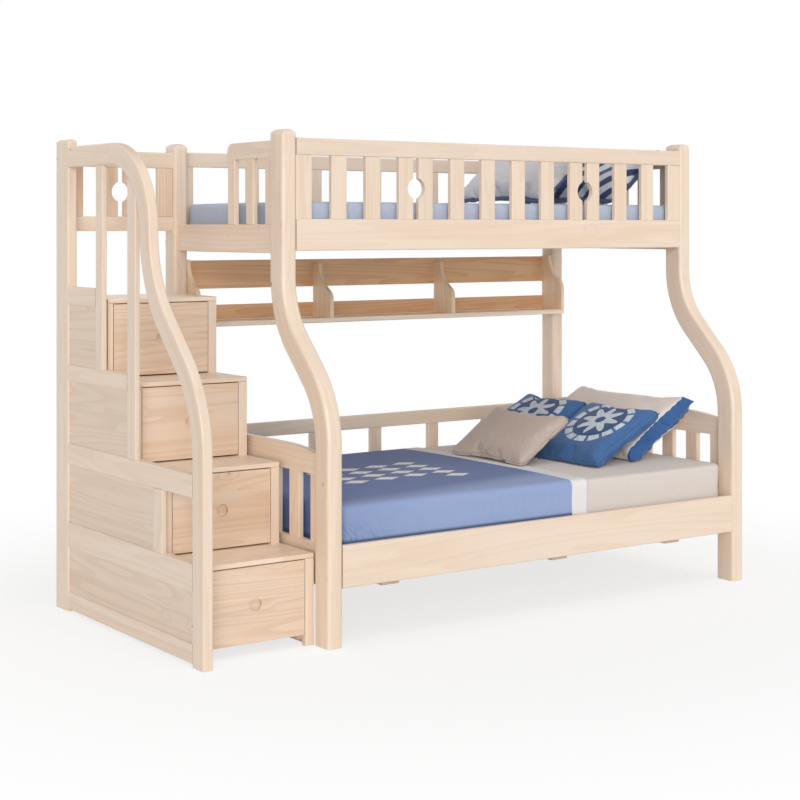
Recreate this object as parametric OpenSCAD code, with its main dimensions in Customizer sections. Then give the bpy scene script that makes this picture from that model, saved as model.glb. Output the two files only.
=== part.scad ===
// Bunk bed in pine: a wide lower berth, a narrower upper berth that stands on
// S-curved front posts, a bookcase between them and a staircase whose four
// steps are drawers. X runs from the stairs to the head end, Y from the front
// to the wall side and Z up. The origin is on the floor under the middle.
// All sizes are in millimetres.

/* [Berths] */
// Clear length between the end posts
berth_length = 2000; // [1900:10:2100]
// Depth over the lower berth, from front posts to back posts
lower_depth = 1284; // [1200:2:1320]
// Depth over the upper berth
upper_depth = 964; // [900:2:1000]
// Step back of the front posts behind the front of the newel
post_setback = 7; // [0:1:20]

/* [Bed posts] */
// Width of each post along the bed
post_width = 64; // [56:1:80]
// Depth of the curved front posts
front_post_depth = 98; // [80:1:110]
// Depth of the back posts
back_post_depth = 90; // [70:1:100]
// Height of the front posts at the shoulder
front_post_height = 1864; // [1820:2:1900]
// Height of the back posts at the shoulder
back_post_height = 1842; // [1840:2:1880]
// Height of the domed cap above the shoulder
cap_height = 32; // [16:1:40]
// Roll radius of the cap
cap_roll = 28; // [12:1:30]
// Rounding of the post edges
post_rounding = 14; // [4:1:20]

/* [S curve of the front posts] */
// Bend radius at the middle of the section
bend_radius = 350; // [300:5:400]
// Lean of the straight run between the bends, from upright
bend_lean = 45; // [40:1:48]
// Height of the middle of the S
bend_middle = 1032.5; // [980:0.5:1060]

/* [Rails] */
// Thickness of the rails
rail_thickness = 26; // [22:1:32]
// Step back of the rails behind the post faces
rail_inset = 2; // [0:1:6]
// Rounding of rail edges
rail_rounding = 5; // [2:1:8]
// Underside of the lower rails
lower_rail_bottom = 214; // [200:1:225]
// Height of the lower rails
lower_rail_height = 156; // [130:1:180]
// Underside of the long upper rails
upper_rail_bottom = 1435; // [1425:1:1445]
// Height of the long upper rails
upper_rail_height = 121; // [100:1:140]
// Underside of the short upper rails
upper_end_bottom = 1425; // [1410:1:1440]
// Height of the short upper rails
upper_end_height = 111; // [90:1:130]

/* [Guards] */
// Thickness of slats and uprights
slat_thickness = 22; // [16:1:24]
// Rounding of slat edges
slat_rounding = 4; // [1:0.5:6]
// Width of a guard slat
slat_width = 70; // [50:1:76]
// Width of the slot in the double slats
motif_slot = 26; // [12:1:40]
// Diameter of the round cut-out in the double slats
motif_diameter = 84; // [50:1:110]
// Height of the top rail along the front
front_top_rail = 65; // [40:1:80]
// Top of the short guard beside the way in
end_guard_top = 1856; // [1800:1:1860]
// Height of its top rail
end_top_rail = 64; // [40:1:70]
// Top of the guard at the head end
head_guard_top = 1842; // [1800:1:1842]
// Height of its top rail
head_top_rail = 53; // [40:1:70]
// Roll of the free corner of the short end guard
end_corner_roll = 38; // [10:1:38]
// Width of the way in from the stairs
entrance_width = 416; // [400:2:500]
// Width of the last stile of the short end guard
entrance_stile = 55; // [40:1:60]
// Width of the stile beside the front post
post_stile = 68; // [20:1:80]
// Width of the slat of the short end guard
entrance_slat = 56; // [40:1:76]
// Top of the upper back guard
back_guard_top = 1842; // [1780:1:1842]
// Height of the upper back top rail
back_top_rail = 62; // [40:1:80]
// Width of the uprights of both back guards
back_upright = 60; // [40:1:80]
// Number of uprights in each back guard
back_uprights = 7; // [4:1:9]
// Top of the lower back guard
lower_back_top = 671; // [600:1:760]

/* [Lower end frames] */
// Underside of the arched top rail
arch_bottom = 618; // [560:1:680]
// Height of the arched top rail at the middle
arch_height = 96; // [80:1:120]
// Fall of the arch at its ends
arch_drop = 25; // [8:1:40]
// Length of the falling part of the arch
arch_run = 245; // [150:5:400]
// Width of the end stiles of the lower end frames
end_stile = 60; // [40:1:80]

/* [Slatted bases] */
// Depth of the ledgers that carry the slats
ledger_depth = 25; // [18:1:30]
// Height of the lower ledgers
lower_ledger_height = 30; // [20:1:40]
// Height of the upper ledgers
upper_ledger_height = 25; // [18:1:30]
// Top of the lower slats
lower_slat_top = 303; // [300:1:310]
// Top of the upper slats
upper_slat_top = 1498; // [1494:1:1504]
// Thickness of the bed slats
bed_slat_thickness = 18; // [14:1:20]
// Width of the bed slats
bed_slat_width = 80; // [60:1:90]
// Number of bed slats in each berth
bed_slats = 13; // [9:1:16]
// Free length of the ledgers at the barrel nuts
ledger_end = 60; // [60:1:64]
// Width of the cross bearers
bearer_width = 78; // [60:1:90]
// Height of the cross bearers
bearer_height = 56; // [40:1:60]

/* [Bookcase] */
// Underside of the shelf board
shelf_bottom = 1107; // [1080:1:1125]
// Depth of the shelf board
shelf_depth = 143; // [120:1:170]
// Thickness of the shelf board
shelf_thickness = 22; // [16:1:26]
// Thickness of cheeks, dividers and back boards
board_thickness = 18; // [12:1:22]
// Height of the cheeks over the underside of the shelf
cheek_height = 281; // [260:1:290]
// Depth of the cheeks at their tops
cheek_top_depth = 49; // [30:1:70]
// Height of the swept front edge of a cheek
ogee_height = 159; // [140:1:170]
// Radius of the belly of the swept edge
ogee_belly = 50; // [30:1:70]
// How much lower the dividers end
divider_drop = 25; // [10:1:50]
// Number of dividers
dividers = 2; // [1:1:4]
// Height of the board behind the books
low_back_board = 63; // [40:1:80]
// Height of the open slot in the back
back_slot = 70; // [40:1:75]
// Step down of the upper back board under the cheeks
back_board_step = 5; // [2:1:20]

/* [Staircase] */
// Width from the outer stair post to the bed posts
stair_width = 513; // [450:1:560]
// Depth of the staircase
stair_depth = 1238; // [1230:1:1246]
// Height of the first tread
first_step = 336; // [320:1:345]
// Rise from tread to tread
step_rise = 304; // [290:1:308]
// Going from riser to riser
step_going = 244; // [220:1:250]
// Thickness of the treads
tread_thickness = 18; // [15:1:26]
// Gap between the bed post and the first riser
stair_gap = 2; // [1:0.5:6]
// Width of the outer stile beside the drawers
outer_stile = 22; // [20:1:30]
// Width of the inner stile beside the drawers
inner_stile = 36; // [24:1:50]
// Thickness of the stiles beside the drawers
stile_thickness = 22; // [18:1:26]
// Thickness of the cabinet side panels
side_panel = 12; // [9:1:16]
// Thickness of the cabinet back
back_panel = 10; // [6:1:14]
// Clearance of the cabinet back over the floor
back_panel_lift = 20; // [5:1:40]

/* [Newel and side frame] */
// Thickness of newel, handrail and stair post
newel_thickness = 40; // [36:1:50]
// Depth of the newel section
newel_depth = 82; // [70:1:90]
// Rounding of newel and handrail edges
newel_rounding = 7; // [3:1:12]
// Bend radius at the middle of the newel
newel_bend = 465; // [430:5:500]
// How far the newel sweeps back
newel_shift = 410; // [390:1:430]
// Radius of the arc into the handrail
newel_arc = 291; // [270:1:310]
// Height where that arc starts
newel_spring = 1512; // [1500:1:1530]
// Depth of the back stair post
stair_post_depth = 116; // [90:1:130]
// Height of the back stair post with its cap
stair_post_height = 1874; // [1856:1:1900]
// Roll of the cap of the back stair post
stair_post_roll = 16; // [8:1:17]
// Thickness of the rails of the side frame
side_rail_thickness = 38; // [30:1:39]
// Underside of the foot rail
foot_rail_bottom = 10; // [5:1:30]
// Height of the foot rail
foot_rail_height = 69; // [50:1:90]
// Top of the first sloping step of side rails
side_rail_top = 356; // [345:1:365]
// Rise between side rails
side_rail_rise = 311; // [300:1:315]
// Height of the first side rail
side_rail_first = 98; // [70:1:110]
// Height of the second side rail
side_rail_second = 82; // [60:1:95]
// Height of the third side rail
side_rail_third = 62; // [50:1:80]
// Height of the top side rail
side_rail_fourth = 72; // [50:1:80]
// Thickness of the side panels
frame_panel = 10; // [6:1:14]
// Step back of the side panels behind the faces of the rails
panel_recess = 6; // [3:1:14]
// How deep the panels stand in the rails
panel_tongue = 8; // [4:1:12]
// Width of the two short balusters
baluster_width = 68; // [40:1:76]
// Width of the long baluster
long_baluster = 60; // [40:1:70]
// Thickness of the balusters
baluster_thickness = 20; // [14:1:24]
// Gap left where the middle baluster is scribed to the newel
scribe_gap = 0.3; // [0.2:0.1:1]

/* [Stair guard] */
// Top of the guard behind the stairs
stair_guard_top = 1836; // [1800:1:1850]
// Height of its top rail
stair_guard_rail = 66; // [50:1:80]
// Underside of its low rail
stair_guard_low = 1509; // [1480:1:1530]
// Height of its low rail
stair_guard_low_rail = 61; // [50:1:80]

/* [Drawers] */
// Thickness of the drawer fronts
front_thickness = 20; // [14:1:22]
// Gap at each side of a drawer front
front_gap = 3; // [1.5:0.5:4]
// Gap over a drawer front
front_top_gap = 3; // [2:0.5:8]
// Height of the runner strips on the treads
runner_height = 5; // [3:0.5:8]
// Height of the bottom cleats over the floor
cleat_top = 42; // [36:1:60]
// Height of the bottom cleats
cleat_height = 18; // [12:1:26]
// Running gap between drawer box and runner
running_gap = 0.3; // [0.2:0.1:1]
// Gap between a drawer box and its opening
box_gap = 5; // [4:0.5:10]
// Wall thickness of the drawer boxes
box_wall = 12; // [9:1:15]
// Height of the drawer boxes
box_height = 210; // [150:1:225]
// Thickness of the drawer bottoms
box_bottom = 5; // [3:1:8]
// Height of the drawer bottom over the wall edge
box_bottom_rise = 8; // [5:1:12]
// Longest drawer box behind its front
box_depth = 580; // [400:5:590]
// Space behind the drawer boxes
box_back_space = 20; // [10:1:40]
// Diameter of the finger recess
finger_diameter = 48; // [30:1:60]
// Depth of the finger recess
finger_depth = 10; // [6:0.5:12]

/* [Bed bolts] */
// Diameter of the bolts
bolt_diameter = 8; // [6:1:10]
// Length under the head
bolt_length = 100; // [96:1:110]
// Diameter of the head
bolt_head = 16; // [14:0.5:17]
// Height of the head
bolt_head_height = 6; // [4:0.5:8]
// Diameter of the counterbore
counterbore = 18; // [17:0.5:22]
// Depth of the counterbore
counterbore_depth = 12; // [10:0.5:16]
// Play of the bolt in its hole
bolt_play = 0.6; // [0.3:0.1:1.2]
// Diameter of the barrel nuts
nut_diameter = 14; // [12:0.5:16]
// Length of the barrel nuts
nut_length = 18; // [14:0.5:20]
// Distance of the nuts from the rail ends
nut_setback = 40; // [34:1:46]

/* [Bedding] */
// Free space between mattress and end posts
mattress_play = 6; // [5:0.5:12]
// Free space between mattress and long rails
mattress_side_play = 14; // [10:0.5:20]
// Free space along the upper mattress
upper_side_play = 4; // [2:0.5:8]
// Height of the lower mattress
lower_mattress = 200; // [160:5:220]
// Height of the upper mattress
upper_mattress = 125; // [100:5:140]
// Crown of the mattresses
mattress_crown = 6; // [2:0.5:12]
// Corner radius of the mattresses
mattress_corner = 60; // [40:1:80]
// Thickness of the bedspread
spread_thickness = 4; // [3:0.5:6]
// Length of the bedspread from the foot end
spread_length = 1205; // [900:5:1230]
// Height of the hem of the bedspread
spread_hem = 330; // [310:1:360]
// Play between layers of bedding
cloth_gap = 0.4; // [0.3:0.1:1]

/* [Hidden] */
$fn = 48;
pine = "#E6CFB6";
pale_pine = "#EBD6C0";
inner_pine = "#D8BC98";

// Places along X, from the outer face of the stair post
berth_start = stair_width + post_width;
berth_end = berth_start + berth_length;
total_length = berth_end + post_width;
left_end_x = stair_width + (post_width - rail_thickness) / 2;
right_end_x = berth_end + (post_width - rail_thickness) / 2;

// Places along Y, from the front of the newel
total_depth = post_setback + lower_depth;
upper_front = total_depth - upper_depth;
lower_rail_y = post_setback + rail_inset;
upper_rail_y = upper_front + rail_inset;
back_rail_y = total_depth - rail_inset - rail_thickness;
back_post_face = total_depth - back_post_depth;
lower_end_start = post_setback + front_post_depth;
upper_end_start = upper_front + front_post_depth;
entrance_start = back_post_face - entrance_width;

// Guards
pair_width = 2 * slat_width + motif_slot;
front_pattern = [1, 1, 1, 2, 1, 1, 1, 1, 2, 1, 1, 1];
front_widths = [for (g = front_pattern) g == 2 ? pair_width : slat_width];
left_widths = [post_stile, entrance_slat, entrance_stile];
right_widths = [entrance_stile, slat_width, slat_width, slat_width,
  slat_width, entrance_stile];
lower_end_widths = [for (i = [0:7]) i % 7 == 0 ? end_stile : slat_width];
back_widths = [for (i = [1:back_uprights]) back_upright];
stair_guard_widths = [slat_width, pair_width, slat_width];

// Staircase
riser_start = post_setback + front_post_depth + stair_gap;
cabinet_back = stair_depth - slat_thickness;
newel_middle = newel_spring - half_rise(newel_shift, newel_bend, bend_lean);
arc_centre_y = newel_depth / 2 + newel_shift + newel_arc;
handrail_bottom = newel_spring + newel_arc - newel_depth / 2;
stair_post_front = stair_depth - stair_post_depth;
side_rail_heights = [side_rail_first, side_rail_second, side_rail_third,
  side_rail_fourth];
// Steps of the side frame: where the balusters stand, as goings of the stairs
short_baluster_y = riser_start + step_going - 38;
middle_baluster_y = riser_start + 2 * step_going - 68;
long_baluster_y = riser_start + 3 * step_going - 30;
frame_starts = [newel_depth, newel_depth,
  middle_baluster_y + baluster_width, long_baluster_y + long_baluster];
panel_starts = [newel_depth, short_baluster_y + baluster_width,
  middle_baluster_y + baluster_width, long_baluster_y + long_baluster];

function riser_y(n) = riser_start + n * step_going;
function tread_top(n) = first_step + n * step_rise;
function step_floor(n) = n == 0 ? 0 : tread_top(n - 1);
function side_top(n) = side_rail_top + n * side_rail_rise;
function front_bottom(n) = n == 0 ? cleat_top : tread_top(n - 1) + runner_height;
function box_length(n) =
  min(box_depth, cabinet_back - box_back_space - riser_y(n) - front_thickness);
function sum_to(v, n) = n <= 0 ? 0 : v[n - 1] + sum_to(v, n - 1);
function lean_run(shift, radius, lean) =
  (shift - 2 * radius * (1 - cos(lean))) / sin(lean);
function half_rise(shift, radius, lean) =
  radius * sin(lean) + lean_run(shift, radius, lean) * cos(lean) / 2;

// A rectangle with rounded corners, about its middle
module rounded_rect(size, r) {
  square([size[0] - 2 * r, size[1]], center = true);
  square([size[0], size[1] - 2 * r], center = true);
  for (sx = [-1, 1], sy = [-1, 1])
    translate([sx * (size[0] / 2 - r), sy * (size[1] / 2 - r)]) circle(r);
}

// Straight members with rounded long edges, along each axis
module bar_x(at, size, r)
  translate(at + [0, size[1] / 2, size[2] / 2]) rotate([90, 0, 90])
    linear_extrude(size[0]) rounded_rect([size[1], size[2]], r);

module bar_y(at, size, r)
  translate(at + [size[0] / 2, size[1], size[2] / 2]) rotate([90, 0, 0])
    linear_extrude(size[1]) rounded_rect([size[0], size[2]], r);

module bar_z(at, size, r)
  translate(at + [size[0] / 2, size[1] / 2, 0])
    linear_extrude(size[2]) rounded_rect([size[0], size[1]], r);

// The same outline with each round corner in four flats, for the members that
// bend: their straight and bent pieces then meet edge to edge
function corner_points(size, r, n) =
  [for (c = [0:3], i = [0:n])
    let (a = 90 * c + 90 * i / n, sx = c == 0 || c == 3 ? 1 : -1,
      sy = c < 2 ? 1 : -1)
    [sx * (size[0] / 2 - r) + r * cos(a), sy * (size[1] / 2 - r) + r * sin(a)]];

module soft_rect(size, r) polygon(corner_points(size, r, 4));

// A straight run of a member that starts at the origin and heads up; what
// follows it goes on from its end
module run_then(length, section, r) {
  linear_extrude(length) soft_rect(section, r);
  translate([0, 0, length]) children();
}

// A bend towards +Y, or towards -Y where the angle is negative
module bend_then(radius, angle, section, r) {
  side = sign(angle);
  mirror([0, side + 1, 0]) translate([0, -radius, 0]) rotate([90, 0, 90])
    rotate_extrude(angle = abs(angle), $fn = 96)
      translate([radius, 0]) soft_rect([section[1], section[0]], r);
  translate([0, side * radius, 0]) rotate([-angle, 0, 0])
    translate([0, -side * radius, 0]) children();
}

// From the floor through both bends of an S; what follows stands on its top
module s_bar(section, r, shift, lean, radius, middle)
  run_then(middle - half_rise(shift, radius, lean), section, r)
    bend_then(radius, lean, section, r)
      run_then(lean_run(shift, radius, lean), section, r)
        bend_then(radius, -lean, section, r) children();

// Outline of an upright whose top corners are rolled over
module rolled_outline(width, height, roll) {
  translate([-width / 2, 0]) square([width, height - roll]);
  translate([-width / 2 + roll, 0]) square([width - 2 * roll, height]);
  for (side = [-1, 1])
    translate([side * (width / 2 - roll), height - roll]) circle(roll);
}

// An upright with a domed cap, about its middle; its outline is the child
module capped_upright(section, height, roll)
  intersection() {
    linear_extrude(height) children();
    rotate([90, 0, 0]) linear_extrude(2 * section[1], center = true)
      rolled_outline(section[0], height, roll);
    rotate([90, 0, 90]) linear_extrude(2 * section[0], center = true)
      rolled_outline(section[1], height, roll);
  }

// Bolt places of one long rail: inwards along X from the outer post faces
module at_bolts(rail_y, bottom, height, ends = [0, 1])
  for (end = ends, level = [0.25, 0.75])
    translate([end == 0 ? stair_width : total_length,
      rail_y + rail_thickness / 2, bottom + level * height])
      mirror([end, 0, 0]) rotate([0, 90, 0]) children();

module at_all_bolts(ends = [0, 1]) {
  at_bolts(lower_rail_y, lower_rail_bottom, lower_rail_height, ends)
    children();
  at_bolts(back_rail_y, lower_rail_bottom, lower_rail_height, ends)
    children();
  at_bolts(upper_rail_y, upper_rail_bottom, upper_rail_height, ends)
    children();
  at_bolts(back_rail_y, upper_rail_bottom, upper_rail_height, ends)
    children();
}

module bolt_bore() {
  translate([0, 0, -1]) rotate([0, 0, 20])
    cylinder(d = counterbore, h = counterbore_depth + 1);
  cylinder(d = bolt_diameter + bolt_play,
    h = counterbore_depth + bolt_length + 4);
}

module bolt() {
  difference() {
    translate([0, 0, counterbore_depth - bolt_head_height])
      cylinder(d = bolt_head, h = bolt_head_height);
    translate([0, 0, counterbore_depth - bolt_head_height - 1])
      cylinder(d = bolt_head * 0.4, h = bolt_head_height / 2 + 1, $fn = 6);
  }
  translate([0, 0, counterbore_depth]) cylinder(d = bolt_diameter, h = bolt_length);
}

// Blind bore for a barrel nut, open on the mattress side of the rail
module nut_bore(inner) {
  depth = (rail_thickness + nut_length + bolt_play) / 2;
  translate([0, inner * (rail_thickness / 2 - depth), post_width + nut_setback])
    rotate([-90 * inner, 0, 0])
      cylinder(d = nut_diameter + bolt_play / 2, h = depth + 1);
}

module nut()
  difference() {
    translate([0, 0, post_width + nut_setback]) rotate([90, 0, 0])
      cylinder(d = nut_diameter, h = nut_length, center = true);
    cylinder(d = bolt_diameter + bolt_play / 2, h = 2 * post_width + nut_setback);
  }

module long_rail(rail_y, bottom, height, inner)
  difference() {
    bar_x([berth_start, rail_y, bottom], [berth_length, rail_thickness, height],
      rail_rounding);
    at_bolts(rail_y, bottom, height) bolt_bore();
    at_bolts(rail_y, bottom, height) nut_bore(inner);
  }

module front_post(x, end) {
  shift = upper_front - post_setback;
  half = half_rise(shift, bend_radius, bend_lean);
  section = [post_width, front_post_depth];
  difference() {
    translate([x + post_width / 2, post_setback + front_post_depth / 2, 0])
      s_bar(section, post_rounding, shift, bend_lean, bend_radius, bend_middle)
        capped_upright(section,
          front_post_height + cap_height - bend_middle - half, cap_roll)
            soft_rect(section, post_rounding);
    at_all_bolts([end]) bolt_bore();
  }
}

module back_post(x, end)
  difference() {
    translate([x + post_width / 2, total_depth - back_post_depth / 2, 0])
      capped_upright([post_width, back_post_depth],
        back_post_height + cap_height, cap_roll)
          rounded_rect([post_width, back_post_depth], post_rounding);
    at_all_bolts([end]) bolt_bore();
  }

// Slats standing in a row along X, with equal gaps
module slat(width, height)
  translate([width / 2, 0, 0]) linear_extrude(height)
    rounded_rect([width, slat_thickness], slat_rounding);

module slat_pair(height)
  difference() {
    union() {
      slat(slat_width, height);
      translate([slat_width + motif_slot, 0, 0]) slat(slat_width, height);
    }
    translate([pair_width / 2, 0, height / 2]) rotate([90, 0, 0])
      cylinder(d = motif_diameter, h = 2 * slat_thickness, center = true);
  }

module slat_row(widths, length, height) {
  gap = (length - sum_to(widths, len(widths))) / (len(widths) - 1);
  for (i = [0:len(widths) - 1])
    translate([sum_to(widths, i) + gap * i, 0, 0])
      if (widths[i] == pair_width) slat_pair(height);
      else slat(widths[i], height);
}

module back_guard_row(bottom, top)
  translate([berth_start, back_rail_y + rail_thickness / 2, bottom])
    slat_row(back_widths, berth_length, top - bottom);

module end_row(x, from_y, widths, length, bottom, top)
  translate([x + rail_thickness / 2, from_y, bottom]) rotate([0, 0, 90])
    slat_row(widths, length, top - bottom);

module post_front_left() color(pine) front_post(stair_width, 0);

module post_front_right() color(pine) front_post(berth_end, 1);

module post_back_left() color(pine) back_post(stair_width, 0);

module post_back_right() color(pine) back_post(berth_end, 1);

module lower_front_rail() color(pine)
  long_rail(lower_rail_y, lower_rail_bottom, lower_rail_height, 1);

module lower_back_rail() color(pine)
  long_rail(back_rail_y, lower_rail_bottom, lower_rail_height, -1);

module upper_front_rail() color(pine)
  long_rail(upper_rail_y, upper_rail_bottom, upper_rail_height, 1);

module upper_back_rail() color(pine)
  long_rail(back_rail_y, upper_rail_bottom, upper_rail_height, -1);

module lower_end_rails() color(pine)
  for (x = [left_end_x, right_end_x])
    bar_y([x, lower_end_start, lower_rail_bottom],
      [rail_thickness, back_post_face - lower_end_start, lower_rail_height],
      rail_rounding);

module upper_end_rails() color(pine)
  for (x = [left_end_x, right_end_x])
    bar_y([x, upper_end_start, upper_end_bottom],
      [rail_thickness, back_post_face - upper_end_start, upper_end_height],
      rail_rounding);

// Top rail of a lower end frame: level in the middle, falling to both ends
module arch_outline(length) {
  radius = (arch_run * arch_run + arch_drop * arch_drop) / (2 * arch_drop);
  intersection() {
    square([length, arch_height]);
    union() {
      translate([arch_run, 0]) square([length - 2 * arch_run, arch_height]);
      for (y = [arch_run, length - arch_run])
        translate([y, arch_height - radius]) circle(radius, $fn = 240);
    }
  }
}

module lower_end_arches() color(pine)
  for (x = [left_end_x, right_end_x])
    translate([x, lower_end_start, arch_bottom]) rotate([90, 0, 90])
      linear_extrude(rail_thickness)
        arch_outline(back_post_face - lower_end_start);

module lower_end_slats() color(pale_pine)
  for (x = [left_end_x, right_end_x])
    end_row(x, lower_end_start, lower_end_widths,
      back_post_face - lower_end_start,
      lower_rail_bottom + lower_rail_height, arch_bottom);

module lower_back_top_rail() color(pine)
  bar_x([berth_start, back_rail_y, lower_back_top - back_top_rail],
    [berth_length, rail_thickness, back_top_rail], rail_rounding);

module lower_back_uprights() color(pale_pine)
  back_guard_row(lower_rail_bottom + lower_rail_height,
    lower_back_top - back_top_rail);

module upper_front_top_rail() color(pine)
  bar_x([berth_start, upper_rail_y, front_post_height - front_top_rail],
    [berth_length, rail_thickness, front_top_rail], rail_rounding);

module upper_front_slats() color(pale_pine) {
  bottom = upper_rail_bottom + upper_rail_height;
  translate([berth_start, upper_rail_y + rail_thickness / 2, bottom])
    slat_row(front_widths, berth_length,
      front_post_height - front_top_rail - bottom);
}

module upper_back_top_rail() color(pine)
  bar_x([berth_start, back_rail_y, back_guard_top - back_top_rail],
    [berth_length, rail_thickness, back_top_rail], rail_rounding);

module upper_back_uprights() color(pale_pine)
  back_guard_row(upper_rail_bottom + upper_rail_height,
    back_guard_top - back_top_rail);

// The guard beside the way in ends in a rolled corner
module entrance_rail_outline(length) {
  square([length, end_top_rail - end_corner_roll]);
  square([length - end_corner_roll, end_top_rail]);
  translate([length - end_corner_roll, end_top_rail - end_corner_roll])
    circle(end_corner_roll);
}

module upper_end_top_rails() color(pine) {
  intersection() {
    translate([left_end_x, upper_end_start, end_guard_top - end_top_rail])
      rotate([90, 0, 90]) linear_extrude(rail_thickness)
        entrance_rail_outline(entrance_start - upper_end_start);
    translate([left_end_x, upper_end_start, end_guard_top - end_top_rail])
      cube([rail_thickness, entrance_start - upper_end_start, end_top_rail]);
  }
  bar_y([right_end_x, upper_end_start, head_guard_top - head_top_rail],
    [rail_thickness, back_post_face - upper_end_start, head_top_rail],
    rail_rounding);
}

module upper_end_slats() color(pale_pine) {
  bottom = upper_end_bottom + upper_end_height;
  end_row(left_end_x, upper_end_start, left_widths,
    entrance_start - upper_end_start, bottom, end_guard_top - end_top_rail);
  end_row(right_end_x, upper_end_start, right_widths,
    back_post_face - upper_end_start, bottom, head_guard_top - head_top_rail);
}

module ledger(y, top, height)
  translate([berth_start + ledger_end, y, top - height])
    cube([berth_length - 2 * ledger_end, ledger_depth, height]);

module slat_ledgers() color(inner_pine) {
  lower_top = lower_slat_top - bed_slat_thickness;
  upper_top = upper_slat_top - bed_slat_thickness;
  ledger(lower_rail_y + rail_thickness, lower_top, lower_ledger_height);
  ledger(back_rail_y - ledger_depth, lower_top, lower_ledger_height);
  ledger(upper_rail_y + rail_thickness, upper_top, upper_ledger_height);
  ledger(back_rail_y - ledger_depth, upper_top, upper_ledger_height);
}

module lower_bearers() color(inner_pine)
  for (share = [0.1135, 0.524, 0.833])
    translate([berth_start + share * berth_length - bearer_width / 2,
      lower_rail_y + rail_thickness,
      lower_slat_top - bed_slat_thickness - lower_ledger_height - bearer_height])
      cube([bearer_width, back_rail_y - lower_rail_y - rail_thickness,
        bearer_height]);

module bed_slat_row(rail_y, top) {
  gap = (berth_length - bed_slats * bed_slat_width) / (bed_slats + 1);
  for (i = [0:bed_slats - 1])
    translate([berth_start + gap + i * (bed_slat_width + gap),
      rail_y + rail_thickness + rail_inset, top - bed_slat_thickness])
      cube([bed_slat_width,
        back_rail_y - rail_y - rail_thickness - 2 * rail_inset,
        bed_slat_thickness]);
}

module lower_slats() color(inner_pine)
  bed_slat_row(lower_rail_y, lower_slat_top);

module upper_slats() color(inner_pine)
  bed_slat_row(upper_rail_y, upper_slat_top);

module shelf_board() color(pine)
  bar_x([berth_start, back_rail_y - shelf_depth, shelf_bottom],
    [berth_length, shelf_depth, shelf_thickness], rail_rounding);

// Side of the bookcase: full depth low down, then a belly and a hollow that
// meet without a corner and bring the edge back to the top
module ogee_board(bottom, top)
  rotate([90, 0, 90]) linear_extrude(board_thickness) {
    front = back_rail_y - shelf_depth;
    shoulder = top - ogee_height;
    recess = shelf_depth - cheek_top_depth;
    radii = (recess * recess + ogee_height * ogee_height) / (2 * recess);
    hollow = radii - ogee_belly;
    meet = front + ogee_belly + (recess - radii) * ogee_belly / radii;
    translate([front, bottom]) square([shelf_depth, shoulder - bottom]);
    translate([front + ogee_belly, shoulder]) circle(ogee_belly, $fn = 96);
    difference() {
      translate([meet, shoulder]) square([back_rail_y - meet, ogee_height]);
      translate([front + recess - hollow, top]) circle(hollow, $fn = 180);
    }
  }

module shelf_uprights() color(pale_pine) {
  top = shelf_bottom + cheek_height;
  floor_z = shelf_bottom + shelf_thickness;
  for (x = [berth_start, berth_end - board_thickness])
    translate([x, 0, 0]) ogee_board(floor_z, top);
  for (i = [1:dividers])
    translate([berth_start + i * berth_length / (dividers + 1)
      - board_thickness / 2, 0, 0])
      ogee_board(floor_z, top - divider_drop);
}

module shelf_back_boards() color(pale_pine) {
  low = shelf_bottom + shelf_thickness;
  high = low + low_back_board + back_slot;
  top = shelf_bottom + cheek_height - back_board_step;
  bar_x([berth_start, back_rail_y, low],
    [berth_length, board_thickness, low_back_board], slat_rounding);
  bar_x([berth_start, back_rail_y, high],
    [berth_length, board_thickness, top - high], slat_rounding);
}

module stair_back_post() color(pine)
  translate([newel_thickness / 2, stair_depth - stair_post_depth / 2, 0])
    capped_upright([newel_thickness, stair_post_depth], stair_post_height,
      stair_post_roll)
        rounded_rect([newel_thickness, stair_post_depth], newel_rounding);

// The newel rises, leans back in an S and turns over into the handrail
module newel_post() color(pine) {
  section = [newel_thickness, newel_depth];
  translate([newel_thickness / 2, newel_depth / 2, 0])
    s_bar(section, newel_rounding, newel_shift, bend_lean, newel_bend,
      newel_middle)
      bend_then(newel_arc, 90, section, newel_rounding);
}

module handrail() color(pine)
  bar_y([0, arc_centre_y, handrail_bottom],
    [newel_thickness, stair_post_front - arc_centre_y, newel_depth],
    newel_rounding);

// Panels of the side frame; their tongues stand in grooves of the rails
module panel_blanks(play)
  for (n = [0:3]) {
    low = n == 0 ? foot_rail_bottom + foot_rail_height : side_top(n - 1);
    high = side_top(n) - side_rail_heights[n];
    inset = (newel_thickness - side_rail_thickness) / 2;
    translate([inset + panel_recess - play,
      panel_starts[n] - (play > 0 ? 1 : 0), low - panel_tongue - play])
      cube([frame_panel + 2 * play,
        stair_post_front - panel_starts[n] + (play > 0 ? 2 : 0),
        high - low + 2 * panel_tongue + 2 * play]);
  }

module stair_side_rails() color(pine)
  difference() {
    inset = (newel_thickness - side_rail_thickness) / 2;
    union() {
      bar_y([inset, newel_depth, foot_rail_bottom],
        [side_rail_thickness, stair_post_front - newel_depth,
          foot_rail_height], rail_rounding);
      for (n = [0:3])
        bar_y([inset, frame_starts[n], side_top(n) - side_rail_heights[n]],
          [side_rail_thickness, stair_post_front - frame_starts[n],
            side_rail_heights[n]], rail_rounding);
    }
    panel_blanks(0.2);
  }

module stair_side_panels() color(pale_pine) panel_blanks(0);

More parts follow.
